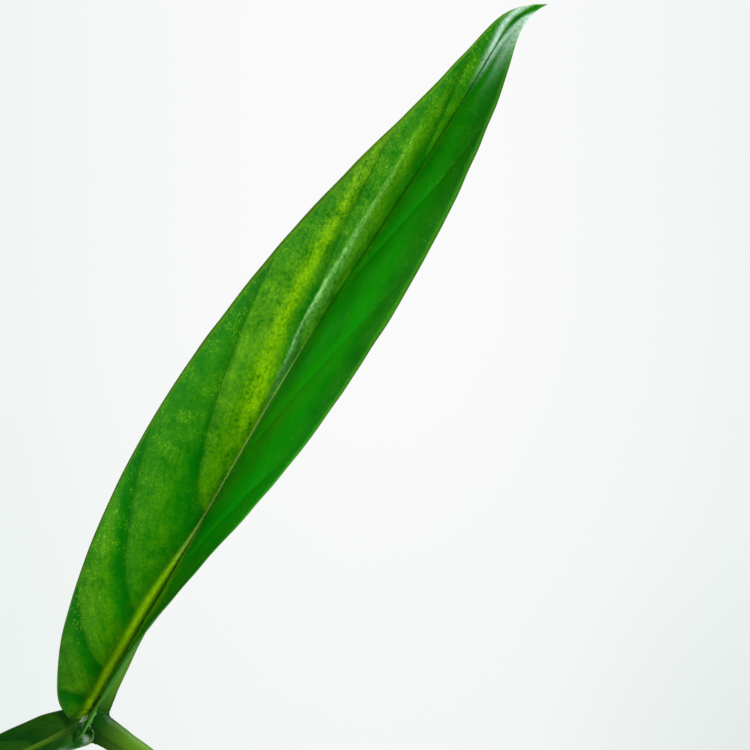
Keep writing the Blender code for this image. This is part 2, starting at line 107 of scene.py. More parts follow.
# A leaf: its stem, the height it leaves it at, the way its stalk sets off (bearing and rise), how far it
# holds that, the blade's base point and length, then the blade's bearing, pitch, roll, fold at the midrib
# and how much of the fold is lost by the margin, each as even stations from base to tip, then how far the
# tip hooks in pitch and bearing, and how much further back one of the two base lobes reaches
Leaf = namedtuple("Leaf", "name stem height bearing rise reach base length yaw pitch roll fold cup hook ear")
LEAVES = (
    Leaf("leaf_01", "stem_a", 121 * MM, 200, 72, 50 * MM, (-61.4 * MM, 0, 211.8 * MM), 167 * MM,
         (0, 0), (61, 60.5, 60.5, 59.5, 57.5, 56.5, 58.5, 59.5), (58, 63, 70, 78, 85, 90, 92, 92),
         (58, 54, 50, 47, 44, 41, 39, 39), (8, 14, 20, 24, 26, 26, 22, 18), (-44, 20), 0.020),
    Leaf("leaf_02", "stem_a", 141 * MM, 142, 62, 30 * MM, (-66.6 * MM, 15 * MM, 205.6 * MM), 150 * MM,
         (180, 184, 192), (-20, -41, -46, -52), (-13, -20, -16), (0, 14, 18), (4, 12, 12), (-12, 0), 0),
    Leaf("leaf_03", "stem_a", 152 * MM, -12, 50, 26 * MM, (94 * MM, 8 * MM, 187 * MM), 158 * MM,
         (-8, -10, -22), (52, 44, 24, -4), (12, 4, -6), (38, 32, 24), (14, 20, 14), (-16, 0), 0),
    Leaf("leaf_04", "stem_c", 124 * MM, -100, 62, 26 * MM, (-8 * MM, -84 * MM, 163 * MM), 150 * MM,
         (-98, -92, -80), (16, -14, -40, -60), (-10, -4, 6), (34, 28, 22), (14, 18, 12), (-10, 0), 0),
    Leaf("leaf_05", "stem_b", 126 * MM, 215, 60, 24 * MM, (-82 * MM, -52 * MM, 146 * MM), 138 * MM,
         (214, 210, 200), (12, -16, -38, -52), (10, 2, -6), (36, 30, 22), (12, 18, 12), (-10, 0), 0),
    Leaf("leaf_06", "stem_a", 133 * MM, 52, 60, 26 * MM, (66 * MM, 72 * MM, 160 * MM), 146 * MM,
         (50, 46, 36), (14, -8, -30, -48), (-8, 0, 8), (36, 30, 22), (14, 18, 12), (-10, 0), 0),
    Leaf("leaf_07", "stem_b", 139 * MM, 128, 58, 24 * MM, (-70 * MM, 76 * MM, 158 * MM), 144 * MM,
         (130, 136, 146), (10, -12, -34, -52), (8, 0, -8), (34, 28, 22), (12, 18, 12), (-10, 0), 0),
    Leaf("leaf_08", "stem_b", 117 * MM, 84, 58, 22 * MM, (-4 * MM, 86 * MM, 143 * MM), 132 * MM,
         (92, 88, 80), (8, -18, -40, -58), (-6, 0, 6), (36, 30, 22), (12, 18, 12), (-10, 0), 0),
    Leaf("leaf_09", "stem_c", 133 * MM, -42, 60, 26 * MM, (72 * MM, -62 * MM, 158 * MM), 146 * MM,
         (-38, -44, -56), (18, -6, -32, -54), (8, 2, -6), (34, 28, 22), (14, 18, 12), (-12, 0), 0),
    Leaf("leaf_10", "stem_b", 112 * MM, 178, 56, 20 * MM, (-84 * MM, 16 * MM, 138 * MM), 118 * MM,
         (172, 168, 160), (4, -22, -42, -54), (-8, 0, 6), (34, 28, 22), (12, 16, 12), (-10, 0), 0),
    Leaf("leaf_11", "stem_c", 116 * MM, 5, 58, 18 * MM, (52 * MM, -22 * MM, 128 * MM), 104 * MM,
         (-14, -20, -30), (22, 2, -22, -40), (6, 0, -6), (36, 30, 24), (12, 16, 12), (-10, 0), 0),
    Leaf("leaf_12", "stem_a", 109 * MM, 100, 60, 18 * MM, (28 * MM, 44 * MM, 130 * MM), 92 * MM,
         (70, 66, 60), (34, 16, -8, -26), (-6, 0, 6), (40, 34, 26), (12, 16, 12), (-10, 0), 0),
    Leaf("leaf_13", "stem_c", 108 * MM, 205, 58, 18 * MM, (-38 * MM, -44 * MM, 124 * MM), 98 * MM,
         (226, 232, 240), (26, 6, -18, -36), (8, 0, -6), (36, 30, 24), (12, 16, 12), (-10, 0), 0),
)

# A leaf still rolled up: its base point, its tip, and its greatest radius
NEW_LEAVES = (
    ("new_leaf_a", (29.6 * MM, 8.2 * MM, 167.2 * MM), (37 * MM, 10 * MM, 199 * MM), 2.6 * MM),
    ("new_leaf_b", (-28.8 * MM, 18.4 * MM, 149.2 * MM), (-36 * MM, 25 * MM, 180 * MM), 2.3 * MM),
)

# An aerial root: its stem, the height it leaves it at, its bearing, and how far out it reaches the mix
AERIAL_ROOTS = (
    ("aerial_root_a", "stem_a", 112 * MM, -60, 17 * MM),
    ("aerial_root_b", "stem_b", 108 * MM, 235, 15 * MM),
    ("aerial_root_c", "stem_c", 110 * MM, 150, 14 * MM),
)
AERIAL_ROOT_RADIUS = 1.0 * MM

# A papery sheath left round a stem: its stem, its foot's height, the way it faces, and its length
SHEATHS = (
    ("sheath_a", "stem_a", 141 * MM, -70, 17 * MM),
    ("sheath_b", "stem_b", 121 * MM, 20, 15 * MM),
    ("sheath_c", "stem_c", 113 * MM, 120, 15 * MM),
)
PAPER_HALF = 0.13 * MM

# ----- Finishing detail: what the solids are too coarse to hold -----

FIRST_LEAF = "leaf_01"
BLADE_HALF = 0.24 * MM
BOX_SLACK = 6 * MM
SEED = 20

# Side veins, in shares of a blade's rows: where the first lies, how far apart they are, and how much
# further up they lie on one half than on the other
FIRST_VEIN = 0.025
VEIN_GAP = 0.125
VEIN_OFFSET = 0.045

# How far each leaf is darkened, by age and on leaf_02 by painted shade, and what the leaves not named here
# have
AGES_AND_SHADE = {"leaf_02": 1, "leaf_03": 0.4, "leaf_05": 0.7, "leaf_06": 0.3, "leaf_08": 0.8, "leaf_12": 0.1}
MIDDLE_AGE = 0.5

# The first leaf's crest, a soft fold across its lighter half: the row it leaves the midrib at, how many rows
# further up it meets the margin, and its height
CREST_ROW = 0.7175
CREST_SWEEP = 0.125
CREST_HEIGHT = 0.85 * MM

# How yellow-green the first leaf's lighter half is between its side veins, from base to tip
PANELS = (0.24, 0.17, 0.17, 0.20, 0.18, 0.09, 0.22, 0.13, 0.1)

# A blade's relief: the groove above its midrib, the ridge below it, the ridge below each side vein, and how
# far the skin wanders
GROOVE_DEPTH = 0.30 * MM
GROOVE_WIDTH = 1.1 * MM
RIDGE_HEIGHT = 1.15 * MM
RIDGE_WIDTH = 1.25 * MM
VEIN_HEIGHT = 0.21 * MM
SKIN_WANDER = 0.10 * MM

# A stalk's foot, where it swells inside its stem, and its knee, with creases round it
FOOT_DEPTH = 2.5 * MM
FOOT_FLARE = 3 * MM
KNEE_LENGTH = 6 * MM
CREASE_GAP = 1.15 * MM
CREASED_LENGTH = 4.2 * MM

# A stem's swelling at each node and the scar just over it: lengths, and the scar's place over the node
SWELL_LENGTH = 2.3 * MM
SCAR_OVER = 2.6 * MM
SCAR_LENGTH = 0.45 * MM

# Turning lines in the clay: how far apart the broad and the fine ones are
TURNING_GAP = 2.9 * MM
FINE_TURNING = 0.31 * MM

# The mix's surface: how far it has dropped at radii out from the middle, its gap to the wall at its edge and
# lower down, and the height of its crumbs
MIX_DROPS = ((0, 0), (26 * MM, 0.6 * MM), (44 * MM, 2.2 * MM))
MIX_EDGE_GAP = 0.25 * MM
MIX_WALL_GAP = 0.6 * MM
CRUMB_HEIGHT = 0.55 * MM

# Loose grains on the mix: their name, count and seed, how often the ball they come from is divided, their
# least and greatest size, their stretch along three axes, how boxy they are (1 is round), how far they stand
# out of the mix in shares of their size, and how far they tip over in radians
GRAINS = (
    ("mix_bark", 190, SEED + 11, 2, (1.6 * MM, 4.4 * MM), (1.0, 0.62, 0.30), 0.55, 0.10, 0.35),
    ("mix_perlite", 150, SEED + 12, 2, (0.7 * MM, 1.6 * MM), (1.0, 0.9, 0.8), 1.0, 0.25, 1.5),
    ("mix_crumbs", 900, SEED + 13, 1, (0.5 * MM, 1.5 * MM), (1.0, 0.8, 0.6), 0.8, 0.25, 1.5),
)
FIBRE_COUNT = 110
STEM_ROOM = 5.5 * MM


def smooth(low, high, value):
    """Ease from 0 at low to 1 at high, flat at both ends."""
    share = np.clip((value - low) / (high - low), 0, 1)
    return share * share * (3 - 2 * share)


def bell(distance, width):
    """A smooth bump: 1 at no distance, fading over a width."""
    return np.exp(-(distance / width) ** 2)


def ripple(points, size, seed, waves=16):
    """Random relief, mostly within -1 to 1: the sum of sine waves of about one size in random directions."""
    draw = np.random.default_rng(seed)
    ways = draw.normal(size=(waves, 3))
    ways /= np.linalg.norm(ways, axis=1, keepdims=True)
    ways *= 2 * np.pi / size * draw.uniform(0.6, 1.5, (waves, 1))
    return np.sin(points @ ways.T + draw.uniform(0, 2 * np.pi, waves)).sum(-1) / math.sqrt(waves)


def unit(vector):
    """Scale vectors to length one."""
    return vector / np.linalg.norm(vector, axis=-1, keepdims=True)


def angles(turn):
    """Even angles once round."""
    return np.linspace(0, 2 * np.pi, turn, endpoint=False)


def turned(radius, height, angle):
    """Points at a radius and a height, turned about the vertical."""
    return np.stack(np.broadcast_arrays(radius * np.cos(angle), radius * np.sin(angle), height), -1)


def arc(start, corner, end, f):
    """Curve that a corner pulls on: (1 - f)^2 start + 2 (1 - f) f corner + f^2 end."""
    return (1 - f)**2 * start + 2 * (1 - f) * f * corner + f**2 * end


def distances(path):
    """Distance along a path at each of its points."""
    return np.concatenate([[0], np.cumsum(np.linalg.norm(np.diff(path, axis=0), axis=1))])


def direction(bearing, rise):
    """Unit vector at a bearing from +X, rising from the level."""
    b, r = math.radians(bearing), math.radians(rise)
    return np.array((math.cos(r) * math.cos(b), math.cos(r) * math.sin(b), math.sin(r)))


def spline(stations, share):
    """Read a smooth curve through evenly spaced stations, at shares of its length from 0 to 1."""
    points = np.asarray(stations, float)
    points = points.reshape(len(points), -1)
    last = len(points) - 1
    place = np.clip(np.asarray(share, float), 0, 1) * last
    index = np.minimum(place.astype(int), last - 1)
    f = (place - index)[..., None]
    padded = np.vstack([2 * points[0] - points[1], points, 2 * points[-1] - points[-2]])
    a, b, c, d = (padded[index + k] for k in range(4))
    return 0.5 * (2 * b + (c - a) * f + (2 * a - 5 * b + 4 * c - d) * f**2 + (3 * b - a - 3 * c + d) * f**3)


# ----- Meshes -----


def add_piece(name, points, faces, uv=None, marks=None):
    """Put arrays into a smooth mesh object, turned right side out if the volume it encloses is negative."""
    sizes = np.array([len(face) for face in faces])
    corners = np.concatenate(faces)
    ends = np.cumsum(sizes) - 1
    starts = ends - sizes + 1
    following = np.roll(corners, -1)
    following[ends] = corners[starts]
    first = points[np.repeat(corners[starts], sizes)]
    if np.einsum("ij,ij->", first, np.cross(points[corners], points[following])) < 0:
        order = np.repeat(starts + ends, sizes) - np.arange(len(corners))
        corners = corners[order]
        uv = uv[order] if uv is not None else None
    mesh = bpy.data.meshes.new(name)
    mesh.vertices.add(len(points))
    mesh.vertices.foreach_set("co", np.ascontiguousarray(points, np.float32).ravel())
    mesh.loops.add(len(corners))
    mesh.loops.foreach_set("vertex_index", corners.astype(np.int32))
    mesh.polygons.add(len(sizes))
    mesh.polygons.foreach_set("loop_start", starts.astype(np.int32))
    mesh.update(calc_edges=True)
    if uv is not None:
        layer = mesh.uv_layers.new(name="UVMap")
        layer.data.foreach_set("uv", np.ascontiguousarray(uv, np.float32).ravel())
    for mark, values in (marks or {}).items():
        layer = mesh.attributes.new(mark, "FLOAT", "POINT")
        layer.data.foreach_set("value", values.astype(np.float32).ravel())
    mesh.shade_smooth()
    piece = bpy.data.objects.new(name, mesh)
    bpy.context.scene.collection.objects.link(piece)
    return piece


def ring_faces(count, turn):
    """Faces between closed rings of points.

    Face (i, j) joins points j and j + 1 of ring i with the same two of ring i + 1, counting round past the
    last point to the first.
    """
    i, j = (grid.ravel() for grid in np.mgrid[: count - 1, :turn])
    k = (j + 1) % turn
    return np.stack([i * turn + j, i * turn + k, (i + 1) * turn + k, (i + 1) * turn + j], -1)


def add_shell(name, rings, ends, along, around=None, marks=None):
    """A closed skin over rings of points, each closed on itself, with one point closing each end.

    The map runs along the rings one way and round them the other.
    """
    count, turn = rings.shape[:2]
    if around is None:
        around = np.broadcast_to(np.linspace(0, 1, turn + 1), (count, turn + 1))
    points = np.concatenate([rings.reshape(-1, 3), ends])
    i, j = (grid.ravel() for grid in np.mgrid[: count - 1, :turn])
    j_end = np.arange(turn)
    k_end = (j_end + 1) % turn
    top = count * turn
    last = (count - 1) * turn
    first_fan = np.stack([np.full(turn, top), k_end, j_end], -1)
    last_fan = np.stack([np.full(turn, top + 1), last + j_end, last + k_end], -1)
    u = np.stack([along[i], along[i], along[i + 1], along[i + 1]], -1)
    v = np.stack([around[i, j], around[i, j + 1], around[i + 1, j + 1], around[i + 1, j]], -1)
    middle = (around[0, :-1] + around[0, 1:]) / 2
    fan_u = [np.stack([np.full(turn, along[n])] * 3, -1) for n in (0, -1)]
    fan_v = [np.stack([middle, around[0, 1:], around[0, :-1]], -1),
             np.stack([middle, around[-1, :-1], around[-1, 1:]], -1)]
    uv = np.concatenate([np.stack([u.ravel(), v.ravel()], -1)]
                        + [np.stack([a.ravel(), b.ravel()], -1) for a, b in zip(fan_u, fan_v)])
    full = {}
    for mark, values in (marks or {}).items():
        values = np.broadcast_to(values, (count, turn))
        full[mark] = np.concatenate([values.ravel(), (values[0].mean(), values[-1].mean())])
    return add_piece(name, points, [*ring_faces(count, turn), *first_fan, *last_fan], uv, full)


def carry(path, normal, outline):
    """Rings square to a path, from outlines of two numbers a point: in its plane, and along the normal.

    Ring point = path + first * (normal x tangent) + second * (tangent x that).
    """
    tangent = unit(np.gradient(path, axis=0))
    inward = unit(np.cross(normal, tangent))
    level = np.cross(tangent, inward)
    return path[:, None] + outline[..., :1] * inward[:, None] + outline[..., 1:] * level[:, None]


def round_outline(radius, turn):
    """Round sections: each ring's radius, which may change round the ring, laid out at even angles."""
    return radius[..., None] * np.stack((np.cos(angles(turn)), np.sin(angles(turn))), -1)


def roughened(rings, path, depth, size, seed):
    """Rings pushed out from their path, or in towards it, by a depth times a ripple of about one size."""
    return rings + depth * ripple(rings, size, seed)[..., None] * unit(rings - path[:, None])


def settle(piece, material, node):
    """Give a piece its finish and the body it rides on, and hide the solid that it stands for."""
    piece.data.materials.append(material)
    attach(piece, "root")
    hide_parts(node)
    return piece


# ----- Stems, and what grows straight from them -----


def stem_line(stem, share):
    """Centre line of a stem: straight up from the mix's depth, then leaning over towards its top."""
    share = np.asarray(share, float)
    bottom = MIX_TOP - BURIED
    height = bottom + (stem.top - bottom) * share
    straight = MIX_TOP + 3 * MM
    bend = np.clip((height - straight) / (stem.top - straight), 0, 1) ** 1.5
    level = [foot + lean * bend for foot, lean in zip(stem.foot, stem.lean)]
    return np.stack((*level, height), -1)


def stem_point(name, height):
    """Point on a named stem's centre line at a height."""
    stem = next(one for one in STEMS if one.name == name)
    bottom = MIX_TOP - BURIED
    return stem_line(stem, (height - bottom) / (stem.top - bottom))


def make_stem(stem, material):
    """Stem skin: ribbed rings that swell at each leaf's node, with a scar groove over the swelling."""
    share = np.linspace(0, 1, 190)
    path = stem_line(stem, share)
    height = path[:, 2]
    nodes = [leaf.height for leaf in LEAVES if leaf.stem == stem.name]
    swell = sum(bell(height - node, SWELL_LENGTH) for node in nodes)
    scar = sum(bell(height - node - SCAR_OVER, SCAR_LENGTH) for node in nodes)
    radius = STEM_RADIUS * (1 - 0.12 * share) * (1 + 0.15 * np.minimum(swell, 1) - 0.07 * np.minimum(scar, 1))
    radius = radius * np.sqrt(np.clip((1.004 - share) / 0.03, 0.02, 1))
    turn = 48
    angle = angles(turn)
    ribs = 1 + 0.02 * np.sin(9 * angle + 2 * np.sin(5 * share)[:, None]) + 0.012 * np.sin(17 * angle)
    rings = carry(path, np.array((0, 1.0, 0)), round_outline(radius[:, None] * ribs, turn))
    rings += 0.05 * MM * ripple(rings, 4 * MM, SEED)[..., None]
    along = share * (stem.top - MIX_TOP + BURIED) / MM
    marks = {"scar": np.minimum(scar, 1)[:, None], "swell": np.minimum(swell, 1)[:, None]}
    piece = add_shell(stem.name + "_skin", rings, path[[0, -1]], along, marks=marks)
    return settle(piece, material, stem.name)


def make_new_leaf(name, base, tip, radius, material):
    """A leaf rolled into a spindle: each ring's radius grows once round and steps back at the free edge."""
    share = np.linspace(0, 1, 120)
    path = np.array(base) + (1.12 * share - 0.12)[:, None] * (np.array(tip) - np.array(base))
    path = path + (0.9 * MM * np.sin(np.pi * share) ** 2)[:, None] * np.array((0.3, 1, 0))
    girth = radius * (0.5 + 1.9 * share) * (1 - share) ** 0.9 + 0.12 * MM
    turn = 56
    angle = angles(turn)
    wound = np.mod(angle - 2.2 * share[:, None] - 0.8, 2 * np.pi) / (2 * np.pi)
    step = 0.86 + 0.20 * wound * smooth(0, 0.05, wound)
    rings = carry(path, np.array((0, 1.0, 0)), round_outline(girth[:, None] * step, turn))
    piece = add_shell(name + "_roll", rings, path[[0, -1]], share, marks={"edge": smooth(0.9, 1, wound)})
    return settle(piece, material, name)


def make_aerial_root(name, stem, height, bearing, reach, material):
    """A short root that leaves a stem, arches down and enters the mix, with a slight wander and knobs."""
    outward = direction(bearing, 0)
    start = stem_point(stem, height) + outward * (STEM_RADIUS * NODE_SWELL - 1.5 * MM)
    end = start + outward * (reach + 2 * MM)
    end[2] = MIX_TOP - 2.5 * MM
    share = np.linspace(0, 1, 90)
    path = start + share[:, None] * (end - start)
    path[:, 2] = start[2] + (end[2] - start[2]) * share**2.2
    sideways = np.array((-outward[1], outward[0], 0))
    path += (0.5 * MM * np.sin(9 * share + height * 900) * np.sin(np.pi * share))[:, None] * sideways
    turn = 18
    girth = AERIAL_ROOT_RADIUS * (1.08 - 0.5 * share)
    rings = carry(path, sideways, round_outline(np.repeat(girth[:, None], turn, 1), turn))
    rings = roughened(rings, path, 0.09 * MM, 2.2 * MM, SEED + 1)
    piece = add_shell(name + "_skin", rings, path[[0, -1]], share * reach / MM)
    return settle(piece, material, name)


def make_sheath(name, stem, height, bearing, length, material):
    """A dry papery sheath: a curled sheet that half wraps a stem, split and frayed towards its point."""
    rise, spread = np.meshgrid(np.linspace(0, 1, 46), np.linspace(-1, 1, 30), indexing="ij")
    frayed = rise * (1 - 0.10 * np.abs(np.sin(7.3 * spread + height * 700)) * rise)
    turn = np.radians(bearing + spread * 74 * (1 - 0.84 * frayed**1.3))
    centre = stem_point(stem, height + length * frayed)
    curl = 1 + 0.42 * frayed**2 + 0.10 * np.abs(spread) ** 3 * np.sin(9 * frayed + 1)
    outward = np.stack((np.cos(turn), np.sin(turn), 0 * turn), -1)
    sheet = centre + (STEM_RADIUS * NODE_SWELL + 0.55 * MM) * curl[..., None] * outward
    sheet += (0.12 * MM * ripple(sheet, 3 * MM, SEED + 2))[..., None] * outward
    half = PAPER_HALF * np.sqrt(1 - np.abs(spread) ** 6)[..., None] * outward
    rings = np.concatenate([sheet + half, (sheet - half)[:, -2:0:-1]], 1)
    across = np.concatenate([spread, spread[:, -2:0:-1]], 1) / 2 + 0.5
    piece = add_shell(name + "_paper", rings, np.stack([rings[0].mean(0), rings[-1].mean(0)]), rise[:, 0],
                      np.concatenate([across, across[:, :1]], 1))
    return settle(piece, material, name)


# ----- Leaves -----


def leaf_frame(leaf, share):
    """Along, up and side directions of a blade at shares of its midrib."""
    share = np.clip(np.asarray(share, float), 0, 1)
    late = smooth(HOOK_START, 1, share)
    yaw = np.radians(spline(leaf.yaw, share)[..., 0] + leaf.hook[1] * late)
    pitch = np.radians(spline(leaf.pitch, share)[..., 0] + leaf.hook[0] * late)
    roll = np.radians(spline(leaf.roll, share)[..., 0])
    along = np.stack((np.cos(pitch) * np.cos(yaw), np.cos(pitch) * np.sin(yaw), np.sin(pitch)), -1)
    up = np.stack((-np.sin(pitch) * np.cos(yaw), -np.sin(pitch) * np.sin(yaw), np.cos(pitch)), -1)
    side = np.stack((np.sin(yaw), -np.cos(yaw), 0 * yaw), -1)
    c, s = np.cos(roll)[..., None], np.sin(roll)[..., None]
    return along, c * up + s * side, c * side - s * up


def midrib_point(leaf, share):
    """Point on the midrib: the along direction summed from the base, straight on behind the base."""
    fine = np.linspace(0, 1, MIDRIB_STEPS + 1)
    along = leaf_frame(leaf, fine)[0]
    steps = (along[1:] + along[:-1]) / 2 * leaf.length / MIDRIB_STEPS
    line = np.array(leaf.base) + np.vstack([np.zeros(3), np.cumsum(steps, 0)])
    point = np.stack([np.interp(share, fine, line[:, axis]) for axis in range(3)], -1)
    return point + np.minimum(share, 0)[..., None] * leaf.length * along[0]


def blade_sheet(leaf, row, across):
    """A blade's middle sheet, its upward normal, and the distance from its midrib.

    A row is swept forward like a vein: it lies at a share of the midrib that grows with the square of the
    distance across. It is folded up about the midrib as an arc, from the fold angle less the cup's bend.
    """
    start, end, half = (spline(OUTLINE, row)[..., k] for k in range(3))
    ear = leaf.ear * np.sin(np.pi * np.clip(row / EAR_ROWS, 0, 1)) * (across > 0)
    reach = start + (end - ear - start) * across**2
    width = half * np.abs(across)
    _, up, side = leaf_frame(leaf, reach)
    fold = np.radians(spline(leaf.fold, reach)[..., 0])
    cup = np.maximum(np.radians(spline(leaf.cup, reach)[..., 0]), 1e-4)
    bend = cup / max(station[2] for station in OUTLINE)
    steep = fold + cup / 2
    angle = steep - bend * width
    out = (np.sin(steep) - np.sin(angle)) / bend
    lift = (np.cos(angle) - np.cos(steep)) / bend
    sign = np.sign(across)
    sheet = midrib_point(leaf, reach) + leaf.length * ((sign * out)[..., None] * side + lift[..., None] * up)
    normal = np.cos(angle)[..., None] * up - (sign * np.sin(angle))[..., None] * side
    return sheet, normal, width * leaf.length


def vein_phase(row, across):
    """How far a row lies past its last side vein, from 0 to 1, with the two halves' veins set apart."""
    return np.mod((row - FIRST_VEIN - VEIN_OFFSET * (across > 0)) / VEIN_GAP, 1)


def paleness(leaf, row, across):
    """How yellow-green a blade is: light just past each side vein, fading to dark before the next one.

    The first leaf has its own strength in each panel on one half and a nearly plain other half; the other
    leaves have soft clouds.
    """
    phase = vein_phase(row, across)
    if leaf.name == FIRST_LEAF:
        edge = np.abs(across)
        order = np.clip(np.floor((row - FIRST_VEIN) / VEIN_GAP) + 1, 0, len(PANELS) - 1).astype(int)
        kept = 1 - smooth(0.40, 0.75, edge) * smooth(0.50, 0.62, row)
        panel = np.array(PANELS)[order] * (1 - 0.92 * kept * smooth(0.50, 0.82, phase))
        left = panel * (1 - 0.45 * smooth(0.80, 1.0, edge))
        streak = bell(row - 0.720 - 0.03 * smooth(0.5, 1, edge), 0.022)
        left = left + 0.50 * streak * smooth(0.05, 0.3, edge)
        band = bell(edge - 0.22, 0.09) * smooth(0.52, 0.66, row) * (1 - smooth(0.90, 0.95, row))
        right = 0.02 + 0.13 * band
        return np.where(across < 0, left, right)
    seat = np.stack((3 * row, across, 0 * row + leaf.length * 50), -1)
    return np.clip(0.24 + 0.18 * ripple(seat, 2.2, SEED + 3), 0, 0.6) * (1 - 0.8 * smooth(0.3, 0.9, phase))


def first_leaf_marks(row, across, away, crest):
    """Where the first leaf shows its rib, its painted highlights, and where it is darker or lighter.

    The rib lies beside the midrib and moves onto it further up. The sheen is a painted highlight
    that starts along the crest of the fold and dies away past it. The glare is a painted highlight
    at the tip and down the right margin. The last mark is more than 0 where the skin is darker,
    with painted shade along the right margin, and less than 0 where painted light lifts the middle
    of the right half.
    """
    edge = np.abs(across)
    low = 1 - smooth(0.54, 0.66, row)
    rib = bell(away * np.sign(across) + (1.7 * low + 0.38) * MM, (0.55 * low + 0.20) * MM)
    rib = rib * (1 - smooth(0.74, 0.80, row)) * (0.35 + 0.65 * smooth(0.05, 0.25, row))
    # The sheen is a painted highlight: it starts along the crest and fades past it
    fade = 0.011 + 0.040 * smooth(0.77, 0.86, row)
    sheen = smooth(-0.006, 0.008, crest) * np.exp(-np.maximum(crest, 0) / fade)
    sheen = sheen * smooth(0.730, 0.765, row) * (1 - 0.55 * smooth(0.77, 0.84, row))
    sheen = sheen * (1 - smooth(0.85, 0.93, row)) * (1 - smooth(0.75, 0.95, edge)) * (across < 0)
    # The glare is a painted highlight at the tip and down the right margin
    painted_glare = bell(row - 0.958, 0.013) * smooth(0.12, 0.45, edge)
    painted_glare = painted_glare + 0.6 * bell(row - 0.93, 0.026) * smooth(0.70, 0.95, across)
    painted_glare = np.clip(painted_glare, 0, 1) * (1 - smooth(0.97, 0.98, row)) * 0.75
    # Painted shade along the right half's margin
    rim_shade = smooth(0.72, 1.0, edge) * smooth(0.50, 0.65, row) * (1 - smooth(0.86, 0.92, row))
    # Painted light lifting the middle of the right half, which lies in the fold's shade
    painted_lift = 0.74 * smooth(0.38, 0.58, row) * (1 - 0.65 * smooth(0.72, 0.90, row))
    right_shade_and_lift = 0.8 * rim_shade + (0.36 * (1 - smooth(0.12, 0.30, row)) - painted_lift)
    # The left half is darker towards its base; the right half takes its painted shade and light
    age_shade_and_lift = np.where(across < 0, 0.50 * (1 - smooth(0.30, 0.48, row)), right_shade_and_lift)
    return rib, sheen, painted_glare, age_shade_and_lift


def make_blade(leaf, material):
    """Leaf blade as one closed skin over its upper and lower faces, meeting in a thin rim.

    Both faces rise between the side veins as soft quilting, lowest along each vein, and wave a little at
    the margin. The upper face has a groove along the midrib and the lower face a tapering ridge.
    """
    is_first = leaf.name == FIRST_LEAF
    count, wide = (210, 65) if is_first else (120, 45)
    even = np.linspace(0, 1, count)
    row = 0.004 + 0.992 * (0.55 * even + 0.45 * (0.5 - 0.5 * np.cos(np.pi * even)))
    spread = np.linspace(-1, 1, wide)
    across = np.sign(spread) * np.abs(spread) ** 1.35
    row, across = np.meshgrid(row, across, indexing="ij")
    sheet, normal, away = blade_sheet(leaf, row, across)
    edge = np.abs(across)
    phase = vein_phase(row, across)
    window = smooth(0.05, 0.34, edge) * (1 - smooth(0.80, 1, edge))
    window = window * smooth(0.06, 0.24, row) * (1 - smooth(0.86, 0.97, row))
    quilt = np.abs(np.sin(np.pi * phase**0.75)) ** 0.8 - 0.5
    size = leaf.length * (np.where(across < 0, 0.0050, 0.0022) if is_first else 0.0062)
    draw = np.random.default_rng(SEED + int(leaf.name[-2:]))
    waves, turn = draw.uniform(2.2, 3.6), draw.uniform(0, 2 * np.pi)
    lap = smooth(0.45, 1, edge) * smooth(0.05, 0.2, row) * (1 - smooth(0.85, 1, row))
    wave = np.sin(2 * np.pi * waves * row + turn + 1.7 * (across > 0))
    wave = wave * lap * leaf.length * (0.0025 if is_first else 0.011)
    crest = row - CREST_ROW - CREST_SWEEP * edge
    relief = size * quilt * window + wave
    if is_first:
        crease = np.where(crest < 0, bell(crest, 0.030), np.exp(-np.maximum(crest, 0) / 0.035))
        crease = crease * (across < 0) * smooth(0.05, 0.25, edge) * (1 - smooth(0.6, 0.95, edge))
        relief = relief + CREST_HEIGHT * crease
    relief = relief + SKIN_WANDER * ripple(sheet, 9 * MM, SEED + 4) * smooth(0.02, 0.2, edge)
    rim = np.sqrt(np.clip(1 - edge**8, 0, 1))
    taper = 1 - 0.72 * row
    groove = GROOVE_DEPTH * bell(away, GROOVE_WIDTH * taper) * smooth(0.03, 0.12, row) * taper
    ridge = RIDGE_HEIGHT * taper * bell(away, RIDGE_WIDTH * taper)
    ridge = ridge * smooth(0.0, 0.05, row) * (1 - smooth(0.93, 1, row))
    vein = VEIN_HEIGHT * bell(np.minimum(phase, 1 - phase), 0.06) * window
    top = sheet + normal * (relief + BLADE_HALF * rim - groove)[..., None]
    under = sheet + normal * (relief - BLADE_HALF * rim - ridge - vein)[..., None]
    rings = np.concatenate([top, under[:, -2:0:-1]], 1)

    def wrapped(upper, lower):
        """Values round a ring: out over the upper face and back under the lower one."""
        return np.concatenate([upper, lower[:, -2:0:-1]], 1)

    none = 0 * row
    rib, sheen, painted_glare = bell(away * np.sign(across), (0.9 * taper + 0.2) * MM) * 0.8, none, none
    age_shade_and_lift = none + AGES_AND_SHADE.get(leaf.name, MIDDLE_AGE)
    if is_first:
        rib, sheen, painted_glare, age_shade_and_lift = first_leaf_marks(row, across, away, crest)
    marks = {
        "under": wrapped(none, none + 1),
        "pale": wrapped(paleness(leaf, row, across), none + 0.2),
        "rib": wrapped(rib, bell(away, 1.3 * MM * taper)),
        "sheen": wrapped(sheen, none),
        "painted_glare": wrapped(painted_glare, none),
        "age_shade_and_lift": wrapped(age_shade_and_lift, age_shade_and_lift),
    }
    around = wrapped(across, across) / 2 + 0.5
    around = np.concatenate([around, around[:, :1]], 1)
    ends = np.stack([midrib_point(leaf, np.zeros(1))[0], midrib_point(leaf, np.ones(1))[0]])
    piece = add_shell(leaf.name + "_blade", rings, ends, row[:, 0], around, marks)
    return settle(piece, material, leaf.name)


